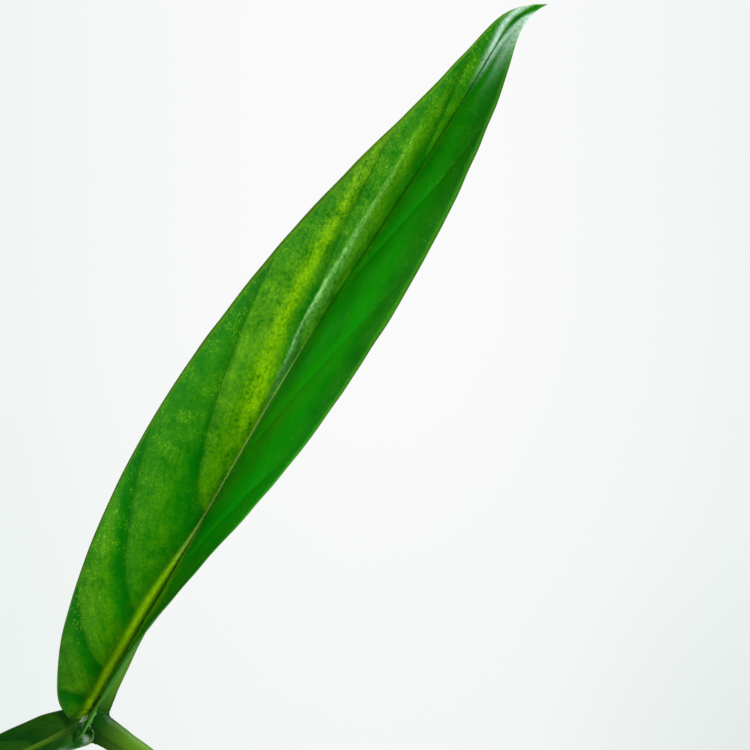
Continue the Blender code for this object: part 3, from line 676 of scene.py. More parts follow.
def stalk_path(leaf):
    """Stalk's centre line from inside its stem: one sweep up and out, a tight knee, then under the midrib.

    With it come the numbers of the points where the sweep, the knee and the run under the midrib start.
    """
    along, up, _ = (part[0] for part in leaf_frame(leaf, np.zeros(1)))
    outward = direction(leaf.bearing, 0)
    leaving = direction(leaf.bearing, leaf.rise)
    tilt = STALK_FOOT_RADIUS * math.sin(math.radians(leaf.rise))
    offset = STEM_RADIUS * NODE_SWELL + tilt + 2 * CLEARANCE
    start = stem_point(leaf.stem, leaf.height) + outward * offset
    end = np.array(leaf.base) + along * STALK_LAP - up * STALK_DROP
    corner = end - along * KNEE_BACK
    first = start + leaving * leaf.reach
    arriving = unit(corner - first)
    bend = corner - arriving * KNEE_BEND
    turned_up = corner + along * KNEE_BEND
    second = bend - arriving * 0.35 * np.linalg.norm(bend - first)
    root = stem_point(leaf.stem, leaf.height - FOOT_DEPTH) + outward * 0.8 * MM
    into_steps, sweep_steps, knee_steps = 10, 90, 26
    f = np.linspace(0, 1, into_steps, endpoint=False)[:, None]
    into = arc(root, start - leaving * 2.2 * MM, start, f)
    f = np.linspace(0, 1, sweep_steps, endpoint=False)[:, None]
    sweep = (1 - f)**3 * start + 3 * (1 - f)**2 * f * first + 3 * (1 - f) * f**2 * second + f**3 * bend
    f = np.linspace(0, 1, knee_steps, endpoint=False)[:, None]
    knee = arc(bend, corner, turned_up, f)
    f = np.linspace(0, 1, 30)[:, None]
    run = turned_up + (along * STALK_RUN - up * 0.5 * MM) * f
    return np.vstack([into, sweep, knee, run]), np.cumsum((into_steps, sweep_steps, knee_steps))


def make_stalk(leaf, material):
    """Leaf stalk: a round section with a groove on its upper side, thin wings low down and a swollen knee."""
    path, (foot, bend, turned_up) = stalk_path(leaf)
    place = distances(path)
    sweep = np.clip((place - place[foot]) / (place[bend] - place[foot]), 0, 1)
    middle = (place[bend] + place[turned_up]) / 2
    near = place - middle
    radius = STALK_FOOT_RADIUS + (STALK_RADIUS - STALK_FOOT_RADIUS) * np.minimum(sweep * 2, 1)
    radius = radius * (1 + (KNEE_SWELL - 1) * bell(near, KNEE_LENGTH))
    radius = radius * (1 + 0.25 * bell(place - place[foot], FOOT_FLARE))
    late = np.clip((place - place[turned_up]) / (place[-1] - place[turned_up]), 0, 1)
    radius = radius * (1 - 0.86 * late**0.8)
    turn = 44
    angle = angles(turn)
    normal = unit(np.cross(path[-1] - path[0], (0, 0, 1.0)))
    inward = np.cross(normal, unit(np.gradient(path, axis=0)))
    upper = np.where(inward[(foot + bend) // 2, 2] > 0, 0, np.pi)
    turned = np.mod(angle - upper + np.pi, 2 * np.pi) - np.pi
    groove = 0.16 * bell(turned, 0.42) * (1 - smooth(0.75, 0.95, sweep))[:, None]
    wings = (0.75 * smooth(0, 0.06, sweep) * (1 - smooth(0.25, 0.62, sweep)))[:, None]
    wings = wings * (bell(turned - 0.8, 0.17) + bell(turned + 0.8, 0.17))
    creases = 0.035 * np.sin(2 * np.pi * place / CREASE_GAP) * bell(near, CREASED_LENGTH)
    girth = radius[:, None] * (1 - groove + wings + creases[:, None])
    rings = carry(path, normal, round_outline(girth, turn))
    rings = roughened(rings, path, 0.05 * MM, 5 * MM, SEED + 5)
    marks = {"knee": bell(near, 6.5 * MM)[:, None], "wing": np.clip(wings * 1.4, 0, 1)}
    piece = add_shell(leaf.name + "_stalk", rings, path[[0, -1]], place / MM, marks=marks)
    return settle(piece, material, leaf.name)


def check_leaf(leaf, pieces):
    """Stop if a leaf's fine pieces leave the box of the solid that they stand for."""
    low, high = (np.array(corner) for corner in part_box(leaf.name))
    corners = np.array([corner[:] for piece in pieces for corner in piece.bound_box])
    assert (corners.min(0) > low - BOX_SLACK).all() and (corners.max(0) < high + BOX_SLACK).all(), leaf.name


# ----- Pot and mix -----


def inner_radius(height):
    """Radius of the pot's inner wall at a height."""
    foot = FOOT_RADIUS + EDGE_ROUNDING - WALL
    return foot + (MOUTH_RADIUS - foot) * (height - FLOOR) / (POT_HEIGHT - FLOOR)


def softened(corners, cut, step):
    """A profile through corners with each one rounded off as a quadratic curve, in even short steps."""
    corners = np.array(corners)
    before, at, after = corners[:-2], corners[1:-1], corners[2:]
    f = np.linspace(0, 1, 8)[:, None, None]
    near = at - unit(at - before) * cut
    far = at + unit(after - at) * cut
    arcs = arc(near, at, far, f)
    line = np.vstack([corners[:1], arcs.transpose(1, 0, 2).reshape(-1, 2), corners[-1:]])
    length = distances(line)
    places = np.linspace(0, length[-1], int(length[-1] / step) + 1)
    return np.stack([np.interp(places, length, line[:, axis]) for axis in range(2)], -1)


def make_pot(material):
    """Clay pot turned from one profile, with faint turning lines in its walls and drain holes cut through."""
    band = POT_HEIGHT - RIM_BAND
    under_band = inner_radius(band) + WALL
    foot = FOOT_RADIUS + EDGE_ROUNDING / 2
    corners = ((0, FLOOR), (inner_radius(FLOOR), FLOOR), (MOUTH_RADIUS, POT_HEIGHT), (RIM_RADIUS, POT_HEIGHT),
               (under_band + RIM_PROUD, band), (under_band, band), (foot, 0), (0, 0))
    profile = softened(corners, 1.5 * EDGE_ROUNDING, 1.0 * MM)[1:-1]
    turn = 168
    angle = angles(turn)
    radius, height = profile[:, :1], profile[:, 1:]
    wall = smooth(1.5 * MM, 4 * MM, height) * smooth(30 * MM, 36 * MM, radius)
    lines = 0.11 * np.sin(2 * np.pi * height / TURNING_GAP + np.sin(angle))
    lines = lines + 0.06 * np.sin(height / FINE_TURNING + angle)
    rings = turned(radius, height, angle)
    wander = 0.22 * ripple(rings, 42 * MM, SEED + 6)
    grow = 1 + wall * MM * (lines + wander) / radius
    rings = rings * np.stack((grow, grow, np.ones_like(grow)), -1)
    ends = np.array(((0, 0, FLOOR), (0, 0, 0)))
    piece = add_shell("pot_turned", rings, ends, np.linspace(0, 1, len(profile)))
    for number in range(DRAIN_COUNT):
        around = 2 * math.pi * (number + 0.25) / DRAIN_COUNT
        centre = (DRAIN_CIRCLE * math.cos(around), DRAIN_CIRCLE * math.sin(around))
        bpy.ops.mesh.primitive_cylinder_add(vertices=48, radius=DRAIN_RADIUS, depth=4 * FLOOR,
                                            location=(*centre, 0))
        cutter = bpy.context.object
        cut = piece.modifiers.new("drain", "BOOLEAN")
        cut.operation = "DIFFERENCE"
        cut.object = cutter
        bpy.context.view_layer.update()
        finished = bpy.data.meshes.new_from_object(piece.evaluated_get(bpy.context.evaluated_depsgraph_get()))
        piece.modifiers.clear()
        piece.data = finished
        bpy.data.objects.remove(cutter, do_unlink=True)
    piece.data.name = "pot_turned"
    piece.data.shade_smooth()
    piece.data.set_sharp_from_angle(angle=math.radians(50))
    piece.data.materials.clear()
    return settle(piece, material, "pot")


def mix_height(radius):
    """Height of the mix's surface: domed a little, and lowest at the wall."""
    out, drop = zip(*MIX_DROPS, (inner_radius(MIX_EDGE), MIX_TOP - MIX_EDGE))
    return MIX_TOP - np.interp(radius, out, drop)


def make_mix(material):
    """Potting mix: a crumbly domed top over a plain body that fills the pot, as one closed skin."""
    edge = inner_radius(MIX_EDGE) - MIX_EDGE_GAP
    radius = np.linspace(0.4 * MM, edge, 110)[:, None]
    turn = 300
    angle = angles(turn)
    flat = turned(radius, 0 * radius, angle)
    crumbs = 1.0 * ripple(flat, 11 * MM, SEED + 7) + 0.55 * np.abs(ripple(flat, 4.2 * MM, SEED + 8))
    crumbs = crumbs + 0.30 * np.abs(ripple(flat, 1.9 * MM, SEED + 9))
    top = flat.copy()
    top[..., 2] = mix_height(radius) + CRUMB_HEIGHT * crumbs
    bottom = FLOOR + 0.5 * MM
    depth = np.linspace(MIX_EDGE - 3 * MM, bottom, 8)[:, None]
    inner = inner_radius(depth) - MIX_WALL_GAP
    wall = turned(inner, depth, angle)
    rings = np.concatenate([top, wall])
    ends = np.array(((0, 0, top[0, :, 2].mean()), (0, 0, bottom)))
    piece = add_shell("mix_surface", rings, ends, np.linspace(0, 1, len(rings)))
    return settle(piece, material, "potting_mix")


def ball(divisions):
    """Points and triangles of a small faceted ball of radius one."""
    work = bmesh.new()
    bmesh.ops.create_icosphere(work, subdivisions=divisions, radius=1)
    points = np.array([vertex.co[:] for vertex in work.verts])
    faces = np.array([[vertex.index for vertex in face.verts] for face in work.faces])
    work.free()
    return points, faces


def random_turns(draw, count, tipped):
    """Random rotations, mostly about the vertical: a turn about Z after a lesser tilt about X."""
    spin = draw.uniform(0, 2 * np.pi, count)
    tilt = draw.normal(0, tipped, count)
    zero, one = np.zeros(count), np.ones(count)
    about_z = np.array([[np.cos(spin), -np.sin(spin), zero], [np.sin(spin), np.cos(spin), zero],
                        [zero, zero, one]])
    about_x = np.array([[one, zero, zero], [zero, np.cos(tilt), -np.sin(tilt)],
                        [zero, np.sin(tilt), np.cos(tilt)]])
    return np.einsum("ijn,jkn->nik", about_z, about_x)


def scattered_places(draw, count, reach):
    """Places on the mix's surface, spread evenly, with none where a stem stands."""
    radius = reach * np.sqrt(draw.uniform(0, 1, 3 * count))
    angle = draw.uniform(0, 2 * np.pi, 3 * count)
    level = np.stack((radius * np.cos(angle), radius * np.sin(angle)), -1)
    gap = np.min([np.linalg.norm(level - stem.foot, axis=1) for stem in STEMS], 0)
    keep = np.flatnonzero(gap > STEM_ROOM)[:count]
    return np.column_stack((level[keep], mix_height(radius[keep])))


def make_scatter(name, count, seed, divisions, size, shape, boxy, proud, tipped, material):
    """Loose grains on the mix: one faceted ball, made boxy, stretched, dented and turned at random."""
    draw = np.random.default_rng(seed)
    points, faces = ball(divisions)
    points = np.sign(points) * np.abs(points) ** boxy
    places = scattered_places(draw, count, inner_radius(MIX_EDGE) - 1.6 * size[1])
    sizes = draw.uniform(*size, len(places))
    stretch = np.array(shape) * draw.uniform(0.7, 1.3, (len(places), 3))
    dents = draw.normal(0, 0.09, (len(places), len(points), 3))
    grains = (points + dents) * (stretch * sizes[:, None])[:, None]
    grains = np.einsum("nij,nvj->nvi", random_turns(draw, len(places), tipped), grains)
    places[:, 2] += sizes * proud
    grains = grains + places[:, None]
    every = faces[None] + (np.arange(len(places)) * len(points))[:, None, None]
    shade = np.repeat(draw.uniform(0, 1, len(places)), len(points))
    piece = add_piece(name, grains.reshape(-1, 3), list(every.reshape(-1, 3)), marks={"shade": shade})
    return settle(piece, material, "potting_mix")


def make_fibres(material):
    """Loose fibres in the mix: thin five-sided strands, each along its own arc half sunk in the surface."""
    draw = np.random.default_rng(SEED + 10)
    places = scattered_places(draw, FIBRE_COUNT, inner_radius(MIX_EDGE) - 9 * MM)
    count, steps, turn = len(places), 12, 5
    f = np.linspace(-1, 1, steps)
    bearing = draw.uniform(0, 2 * np.pi, count)[:, None]
    length = draw.uniform(3, 9, count)[:, None] * MM
    curve = draw.uniform(-0.9, 0.9, count)[:, None]
    x, y = length * f, length * curve * (f**2 - 0.4)
    path = np.stack((x * np.cos(bearing) - y * np.sin(bearing), x * np.sin(bearing) + y * np.cos(bearing),
                     length * draw.uniform(0.02, 0.22, count)[:, None] * (1 - f**2)), -1) + places[:, None]
    path[..., 2] += 0.5 * MM
    tangent = unit(np.gradient(path, axis=1))
    side = unit(np.cross(tangent, (0, 0, 1.0)))
    over = np.cross(side, tangent)
    angle = angles(turn)
    girth = draw.uniform(0.12, 0.26, count)[:, None] * MM * (1.02 - f**2) ** 0.4
    rings = path[:, :, None] + girth[..., None, None] * (
        np.cos(angle)[:, None] * side[:, :, None] + np.sin(angle)[:, None] * over[:, :, None])
    starts = np.arange(count) * steps * turn
    sides = (ring_faces(steps, turn) + starts[:, None, None]).reshape(-1, 4)
    first_cap = starts[:, None] + np.arange(turn)[::-1]
    last_cap = starts[:, None] + (steps - 1) * turn + np.arange(turn)
    piece = add_piece("mix_fibres", rings.reshape(-1, 3), [*sides, *first_cap, *last_cap])
    return settle(piece, material, "potting_mix")


# ----- Finishes -----


class Amount:
    """A number that varies over a surface. Arithmetic on it adds Math nodes."""

    def __init__(self, finish, socket):
        self.finish = finish
        self.socket = socket

    def work(self, operation, *values):
        """One Math node over these values."""
        node = self.finish.add("Math", {"operation": operation}, dict(enumerate(values)))
        return Amount(self.finish, node.outputs[0])

    def __add__(self, other):
        return self.work("ADD", self, other)

    def __sub__(self, other):
        return self.work("SUBTRACT", self, other)

    def __rsub__(self, other):
        return self.work("SUBTRACT", other, self)

    def __mul__(self, other):
        return self.work("MULTIPLY", self, other)

    def __truediv__(self, other):
        return self.work("DIVIDE", self, other)

    __radd__ = __add__
    __rmul__ = __mul__

    def eased(self, low, high):
        """Ease from 0 where this is low to 1 where it is high."""
        sockets = {"Value": self, "From Min": low, "From Max": high}
        node = self.finish.add("MapRange", {"interpolation_type": "SMOOTHSTEP"}, sockets)
        return Amount(self.finish, node.outputs[0])

    def fraction(self):
        """What is left over after the whole number."""
        return self.work("FRACT", self)

    def size(self):
        """The number without its sign."""
        return self.work("ABSOLUTE", self)

    def at_most(self, limit):
        """The number, held to a limit."""
        return self.work("MINIMUM", self, limit)


class Finish:
    """A material being put together: its nodes, its patterns and its one surface shader."""

    def __init__(self, name, world=None):
        self.material = world or bpy.data.materials.new(name)
        self.material.use_nodes = True
        self.tree = self.material.node_tree
        self.tree.nodes.clear()
        self.output = self.add("OutputWorld" if world else "OutputMaterial")

    def add(self, kind, settings=None, sockets=None):
        """Any other node: its type, its settings, set first, then its sockets' values or links."""
        node = self.tree.nodes.new("ShaderNode" + kind)
        for setting, value in (settings or {}).items():
            setattr(node, setting, value)
        for socket, value in (sockets or {}).items():
            target = node.inputs[socket]
            if isinstance(value, Amount):
                self.tree.links.new(value.socket, target)
            elif isinstance(value, bpy.types.NodeSocket):
                self.tree.links.new(value, target)
            elif target.type == "RGBA":
                target.default_value = (*value, 1)
            else:
                target.default_value = value
        return node

    def place(self, stretch=(1, 1, 1)):
        """Place on the object in metres, stretched along its axes."""
        seat = self.add("TexCoord").outputs["Object"]
        return self.add("Mapping", None, {"Vector": seat, "Scale": stretch}).outputs[0]

    def map(self):
        """The piece's own map, as two amounts: along it and round or across it."""
        parts = self.add("SeparateXYZ", None, {0: self.add("UVMap", {"uv_map": "UVMap"}).outputs[0]})
        return Amount(self, parts.outputs[0]), Amount(self, parts.outputs[1])

    def mark(self, name):
        """A number kept on the piece's points."""
        return Amount(self, self.add("Attribute", {"attribute_name": name}).outputs["Fac"])

    def together(self, x, y):
        """Two amounts as a place on a flat."""
        return self.add("CombineXYZ", None, {0: x, 1: y}).outputs[0]

    def noise(self, where, scale, detail=2.0, roughness=0.5, distortion=0.0):
        """Cloudy noise around 0.5."""
        sockets = {"Vector": where, "Scale": scale, "Detail": detail, "Roughness": roughness,
                   "Distortion": distortion}
        return Amount(self, self.add("TexNoise", None, sockets).outputs[0])

    def cells(self, where, scale):
        """Distance to the nearest of many scattered points."""
        return Amount(self, self.add("TexVoronoi", None, {"Vector": where, "Scale": scale}).outputs[0])

    def mix(self, amount, low, high):
        """A colour between two, each a colour or a link."""
        return self.add("Mix", {"data_type": "RGBA"}, {0: amount, 6: low, 7: high}).outputs[2]

    def close(self, colour, rough, height, depth, through=None, more=None):
        """Join one Principled shader to the output, bumped by a height in units of a depth.

        A thin piece also has a share of light coming through it, in a colour of its own.
        """
        normal = self.add("Bump", None, {"Height": height, "Distance": depth}).outputs[0]
        sockets = {"Base Color": colour, "Roughness": rough, "Normal": normal, **(more or {})}
        shader = self.add("BsdfPrincipled", None, sockets).outputs[0]
        if through is not None:
            share, colour = through
            glow = self.add("BsdfTranslucent", None, {"Color": colour}).outputs[0]
            shader = self.add("MixShader", None, {0: share, 1: shader, 2: glow}).outputs[0]
        self.tree.links.new(shader, self.output.inputs[0])
        return self.material


def leaf_finish():
    """Glossy living leaf: dark green with a yellow-green flush, sunken side veins and a pebbled skin.

    It is paler and duller under.
    """
    leaf = Finish("pothos_leaf")
    row, across = leaf.map()
    under, pale, rib = leaf.mark("under"), leaf.mark("pale"), leaf.mark("rib")
    sheen, painted_glare, age_shade_and_lift = leaf.mark("sheen"), leaf.mark("painted_glare"), leaf.mark("age_shade_and_lift")
    edge = ((across - 0.5) * 2).size()
    right = across.eased(0.499, 0.501)
    here = leaf.place()
    clouds = leaf.noise(here, 42, 3, 0.55)
    mottle = leaf.noise(here, 260, 3, 0.6)
    pebble = leaf.noise(here, 900, 2, 0.5)
    grain = leaf.noise(here, 1500, 2, 0.6)
    glint = leaf.noise(here, 2600, 1, 0.5)
    fine = leaf.noise(leaf.together(row * 190, across * 9), 1.0, 2, 0.55)
    # How far past the last side vein, and how near to one
    phase = ((row - FIRST_VEIN - right * VEIN_OFFSET) / VEIN_GAP).fraction()
    nearest = 0.5 - (phase - 0.5).size()
    vein = (1 - nearest.eased(0.0, 0.07)) * edge.eased(0.02, 0.12) * (1 - edge.eased(0.78, 0.97))
    vein = vein * row.eased(0.06, 0.14) * (1 - row.eased(0.88, 0.97))
    shade_before_vein = phase.eased(0.72, 0.96) * (1 - phase.eased(0.985, 1.0))
    # Ground colour, from the flush down to the veins
    speckle = (mottle - 0.5) * 2.0 + (grain - 0.5) * 2.6 + (fine - 0.5) * 1.6 + (clouds - 0.5) * 0.9
    flush = pale * (1 + speckle) + speckle * 0.035 * (1 - right * 0.8)
    green = leaf.mix(clouds + (mottle - 0.5) * 0.8, (0.0010, 0.122, 0.0008), (0.0022, 0.190, 0.0012))
    green = leaf.mix(flush, green, (0.235, 0.52, 0.0012))
    green = leaf.mix(fine.eased(0.55, 0.78) * 0.24, green, (0.006, 0.20, 0.002))
    # Painted shade of the quilting, partly the leaf's own tone: darker just before each vein and along it
    green = leaf.mix(shade_before_vein * (1 - right * 0.6) * 0.5, green, (0.001, 0.098, 0.001))
    green = leaf.mix(vein * (1 - right * 0.6) * 0.3, green, (0.0010, 0.098, 0.0010))
    # Darker by age and by painted shade, lighter by painted light where the mark is less than 0, and a lighter
    # line at the margin
    green = leaf.mix(age_shade_and_lift * 0.8, green, (0.0006, 0.038, 0.0006))
    green = leaf.mix((0 - age_shade_and_lift).eased(0, 1), green, (0.0014, 0.330, 0.0010))
    green = leaf.mix(edge.eased(0.965, 0.985) * (0.5 - right * 0.3), green, (0.14, 0.34, 0.01))
    # Small bright specks, mostly near the margin and on young leaves
    glitter = mottle.eased(0.42, 0.60) * (0.25 + edge.eased(0.45, 0.8) * 0.75) * (1 - right * 0.75)
    glitter = glitter * (1 - age_shade_and_lift.eased(0.0, 0.6) * 0.85)
    green = leaf.mix(glint.eased(0.54, 0.68) * glitter * 0.45, green, (0.22, 0.54, 0.008))
    # Painted highlights along the crest and at the tip, and the pale rib
    painted_sheen_colour = leaf.mix(row.eased(0.765, 0.84), (0.40, 0.86, 0.27), (0.20, 0.50, 0.012))
    green = leaf.mix(sheen * (grain * 3.2 + fine * 2.2 - 1.75), green, painted_sheen_colour)
    green = leaf.mix(painted_glare * (grain * 1.8 + fine * 0.6 - 0.2), green, (0.56, 0.78, 0.64))
    bright = leaf.mix(row.eased(0.58, 0.66), (0.42, 0.86, 0.006), (0.50, 0.86, 0.16))
    green = leaf.mix(rib * (0.45 + grain) * (1 - age_shade_and_lift.eased(0, 1) * 0.2), green, bright)
    back = leaf.mix(clouds, (0.030, 0.170, 0.018), (0.055, 0.235, 0.030))
    back = leaf.mix(vein * 0.6 + rib * 0.5, back, (0.12, 0.30, 0.035))
    colour = leaf.mix(under, green, back)
    rough = 0.25 + clouds * 0.08 + (mottle - 0.5) * 0.12 + under * 0.26 + edge.eased(0.85, 0.98) * 0.25
    height = pebble * 0.3 + fine * 0.35 + mottle * 0.6 - vein * (1 - under) * 0.9 + vein * under * 0.8
    coat = (1 - under) * 0.12
    gloss = {"IOR": 1.42, "Specular IOR Level": 0.4, "Coat Weight": coat, "Coat Roughness": 0.16}
    return leaf.close(colour, rough, height, 0.045 * MM, (pale * 0.18 + 0.05, (0.06, 0.52, 0.003)), gloss)


def stalk_finish():
    """Leaf stalk: yellow-green with long streaks and pale flecks, browner wings, and a dark green knee."""
    stalk = Finish("pothos_stalk")
    along, around = stalk.map()
    knee, wing = stalk.mark("knee"), stalk.mark("wing")
    here = stalk.place()
    clouds = stalk.noise(here, 70, 3, 0.55)
    streak = stalk.noise(stalk.together(along * 0.12, around * 34), 1.0, 3, 0.6)
    fleck = stalk.noise(stalk.together(along * 1.4, around * 60), 1.0, 1, 0.5)
    colour = stalk.mix(clouds, (0.062, 0.165, 0.003), (0.105, 0.245, 0.004))
    colour = stalk.mix(streak.eased(0.45, 0.72) * 0.55, colour, (0.040, 0.190, 0.006))
    colour = stalk.mix(fleck.eased(0.66, 0.74) * 0.5, colour, (0.24, 0.36, 0.08))
    colour = stalk.mix(wing * streak.eased(0.3, 0.7), colour, (0.22, 0.20, 0.055))
    colour = stalk.mix(knee, colour, (0.002, 0.052, 0.001))
    rough = 0.34 + clouds * 0.12 + wing * 0.2
    height = streak + fleck * 0.5 + stalk.noise(here, 1100, 2, 0.5) * 0.4
    return stalk.close(colour, rough, height, 0.09 * MM, more={"Specular IOR Level": 0.35})


def stem_finish():
    """Short woody stem: green under a cracked tan cork that thickens at each scar."""
    stem = Finish("pothos_stem")
    along, around = stem.map()
    scar, swell = stem.mark("scar"), stem.mark("swell")
    here = stem.place()
    clouds = stem.noise(here, 120, 4, 0.6)
    streak = stem.noise(stem.together(along * 0.25, around * 26), 1.0, 3, 0.65)
    cork = (clouds + streak * 0.6 + swell * 0.25).eased(0.72, 1.0)
    colour = stem.mix(streak, (0.055, 0.15, 0.015), (0.11, 0.23, 0.03))
    colour = stem.mix(cork * 0.9, colour, stem.mix(clouds, (0.14, 0.10, 0.045), (0.30, 0.23, 0.13)))
    colour = stem.mix(scar * 0.8, colour, (0.075, 0.045, 0.020))
    height = streak + cork * 0.8 + stem.noise(here, 900, 3, 0.6) * 0.5
    return stem.close(colour, 0.48 + cork * 0.3, height, 0.16 * MM)


def new_leaf_finish():
    """Rolled young leaf: bright yellow-green with fine lines along it and a pale free edge."""
    roll = Finish("pothos_new_leaf")
    along, around = roll.map()
    edge = roll.mark("edge")
    here = roll.place()
    clouds = roll.noise(here, 90, 3, 0.5)
    line = roll.noise(roll.together(along * 9, around * 30 - along * 10), 1.0, 2, 0.5)
    colour = roll.mix(clouds, (0.10, 0.36, 0.010), (0.20, 0.47, 0.020))
    colour = roll.mix(line.eased(0.45, 0.75) * 0.5, colour, (0.06, 0.28, 0.008))
    colour = roll.mix(edge * 0.6, colour, (0.40, 0.56, 0.10))
    colour = roll.mix(along.eased(0.9, 1.0) * 0.7, colour, (0.16, 0.20, 0.02))
    height = line + roll.noise(here, 1200, 2, 0.5) * 0.4
    return roll.close(colour, 0.30 + clouds * 0.1, height, 0.07 * MM, (0.15, (0.20, 0.50, 0.02)))


def root_finish():
    """Aerial root: brown and corky with a fuzz of fine cracks."""
    root = Finish("pothos_root")
    along, around = root.map()
    here = root.place()
    clouds = root.noise(here, 260, 4, 0.6)
    crack = root.noise(root.together(along * 2.2, around * 8), 1.0, 3, 0.6)
    colour = root.mix(clouds, (0.10, 0.060, 0.028), (0.30, 0.21, 0.115))
    colour = root.mix(crack.eased(0.55, 0.72) * 0.6, colour, (0.055, 0.032, 0.016))
    return root.close(colour, 0.72 + crack * 0.2, crack + clouds, 0.18 * MM)


def sheath_finish():
    """Dry sheath: thin tan paper with brown fibres along it and a darker torn edge."""
    paper = Finish("pothos_sheath")
    along, around = paper.map()
    here = paper.place()
    clouds = paper.noise(here, 220, 3, 0.6)
    fibre = paper.noise(paper.together(along * 2.5, around * 46), 1.0, 3, 0.65)
    edge = ((around - 0.5) * 2).size()
    colour = paper.mix(clouds, (0.26, 0.155, 0.070), (0.46, 0.32, 0.17))
    colour = paper.mix(fibre.eased(0.5, 0.7) * 0.75, colour, (0.13, 0.070, 0.030))
    colour = paper.mix((edge.eased(0.8, 1.0) + along.eased(0.85, 1.0)) * 0.5, colour, (0.085, 0.045, 0.020))
    return paper.close(colour, 0.62 + clouds * 0.25, fibre + clouds, 0.14 * MM, (0.22, (0.45, 0.28, 0.12)))


def mix_finish():
    """Peaty mix: near-black brown crumbs with lighter fibre flecks and a damp sheen in the hollows."""
    peat = Finish("potting_mix_peat")
    here = peat.place()
    clouds = peat.noise(here, 75, 4, 0.6)
    crumb = peat.noise(here, 620, 4, 0.65)
    fleck = peat.cells(peat.place((1, 1, 0.4)), 520)
    colour = peat.mix(clouds, (0.012, 0.0075, 0.0045), (0.040, 0.025, 0.014))
    colour = peat.mix(crumb.eased(0.52, 0.70) * 0.8, colour, (0.075, 0.046, 0.024))
    colour = peat.mix((1 - fleck.eased(0.05, 0.16)) * 0.5, colour, (0.16, 0.105, 0.055))
    rough = 0.95 - (1 - clouds).eased(0.5, 0.8) * 0.25
    return peat.close(colour, rough, crumb + clouds * 0.5, 0.7 * MM)


def bark_finish():
    """Bark chips, from red-brown to grey-brown, with grain and dark cracks."""
    bark = Finish("potting_mix_bark")
    shade = bark.mark("shade")
    here = bark.place()
    grain = bark.noise(bark.place((1, 3, 6)), 240, 4, 0.65)
    crack = bark.noise(here, 520, 3, 0.6, 1.2)
    colour = bark.mix(shade, (0.075, 0.034, 0.016), (0.21, 0.125, 0.068))
    colour = bark.mix(grain.eased(0.42, 0.70) * 0.7, colour, (0.040, 0.022, 0.012))
    colour = bark.mix(crack.eased(0.60, 0.70) * 0.5, colour, (0.30, 0.20, 0.12))
    return bark.close(colour, 0.78 + grain * 0.18, grain + crack, 0.5 * MM)


def perlite_finish():
    """Perlite: soft white pitted grains, a few stained by the mix."""
    perlite = Finish("potting_mix_perlite")
    shade = perlite.mark("shade")
    here = perlite.place()
    pit = perlite.cells(here, 2600)
    stain = perlite.noise(here, 420, 3, 0.6)
    colour = perlite.mix(shade, (0.78, 0.76, 0.71), (0.60, 0.56, 0.48))
    colour = perlite.mix((stain + shade * 0.3).eased(0.60, 0.82) * 0.8, colour, (0.22, 0.155, 0.095))
    colour = perlite.mix((1 - pit.eased(0.0, 0.25)) * 0.4, colour, (0.34, 0.30, 0.25))
    return perlite.close(colour, 0.92 - stain * 0.1, pit, 0.16 * MM)


def fibre_finish():
    """Coir fibres: tan to red-brown, slightly shiny, with fine streaks."""
    fibre = Finish("potting_mix_fibre")
    here = fibre.place()
    clouds = fibre.noise(here, 130, 2, 0.5)
    streak = fibre.noise(here, 1800, 3, 0.6)
    colour = fibre.mix(clouds.eased(0.35, 0.65), (0.115, 0.055, 0.024), (0.34, 0.215, 0.105))
    colour = fibre.mix(streak.eased(0.5, 0.7) * 0.5, colour, (0.075, 0.040, 0.020))
    return fibre.close(colour, 0.6 + streak * 0.25, streak, 0.08 * MM)


def clay_finish():
    """Fired clay: orange-brown with darker firing clouds, pale mineral bloom, pores and turning lines."""
    clay = Finish("pot_clay")
    here = clay.place()
    height = Amount(clay, clay.add("SeparateXYZ", None, {0: here}).outputs[2])
    clouds = clay.noise(here, 14, 4, 0.6, 0.4)
    blotch = clay.noise(clay.place((1, 1, 0.6)), 38, 5, 0.62, 0.8)
    speck = clay.noise(here, 900, 3, 0.65)
    pore = clay.cells(here, 1250)
    lines = clay.noise(clay.place((0.03, 0.03, 1)), 1500, 3, 0.6)
    colour = clay.mix(clouds.eased(0.30, 0.70), (0.41, 0.150, 0.070), (0.57, 0.245, 0.125))
    colour = clay.mix(speck.eased(0.50, 0.72) * 0.45, colour, (0.64, 0.33, 0.19))
    colour = clay.mix((1 - speck).eased(0.56, 0.74) * 0.45, colour, (0.27, 0.095, 0.045))
    damp = (1 - (height + (blotch - 0.5) * 0.03).eased(0.004, 0.030)) * 0.55
    colour = clay.mix(damp, colour, (0.255, 0.090, 0.042))
    band = (height + (clouds - 0.5) * 0.03).eased(0.066, 0.080)
    band = band * (1 - (height + (blotch - 0.5) * 0.03).eased(0.090, 0.104))
    bloom = (blotch + band * 0.22 + damp * 0.08).eased(0.58, 0.80) * (0.35 + speck * 0.7)
    colour = clay.mix(bloom * 0.75, colour, (0.72, 0.60, 0.50))
    rough = 0.80 + bloom * 0.15 - damp * 0.12 + (speck - 0.5) * 0.1
    relief = speck * 0.5 + lines * 0.7 + pore.eased(0.0, 0.22) * 0.8 + bloom * 0.3
    return clay.close(colour, rough, relief, 0.16 * MM)


# ----- Studio -----

LENS = 100
SENSOR = 36
CAMERA_PLACE = (-6.5 * MM, -410 * MM, 277.9 * MM)
FLOOR_REACH = 1.05
LIT_POINT = (0, 0, 0.26)

# A light: its name, place, width, height and power, and whether glossy skins mirror it
LIGHTS = (
    ("key", (0.42, -1.25, 0.38), 0.7, 0.7, 17, False),
    ("top", (0.25, 0.30, 1.15), 0.5, 0.5, 6, True),
    ("side", (0.80, 0.10, 0.75), 0.35, 0.5, 4, True),
    ("back", (-0.7, 0.9, 0.75), 0.9, 0.6, 6, False),
)


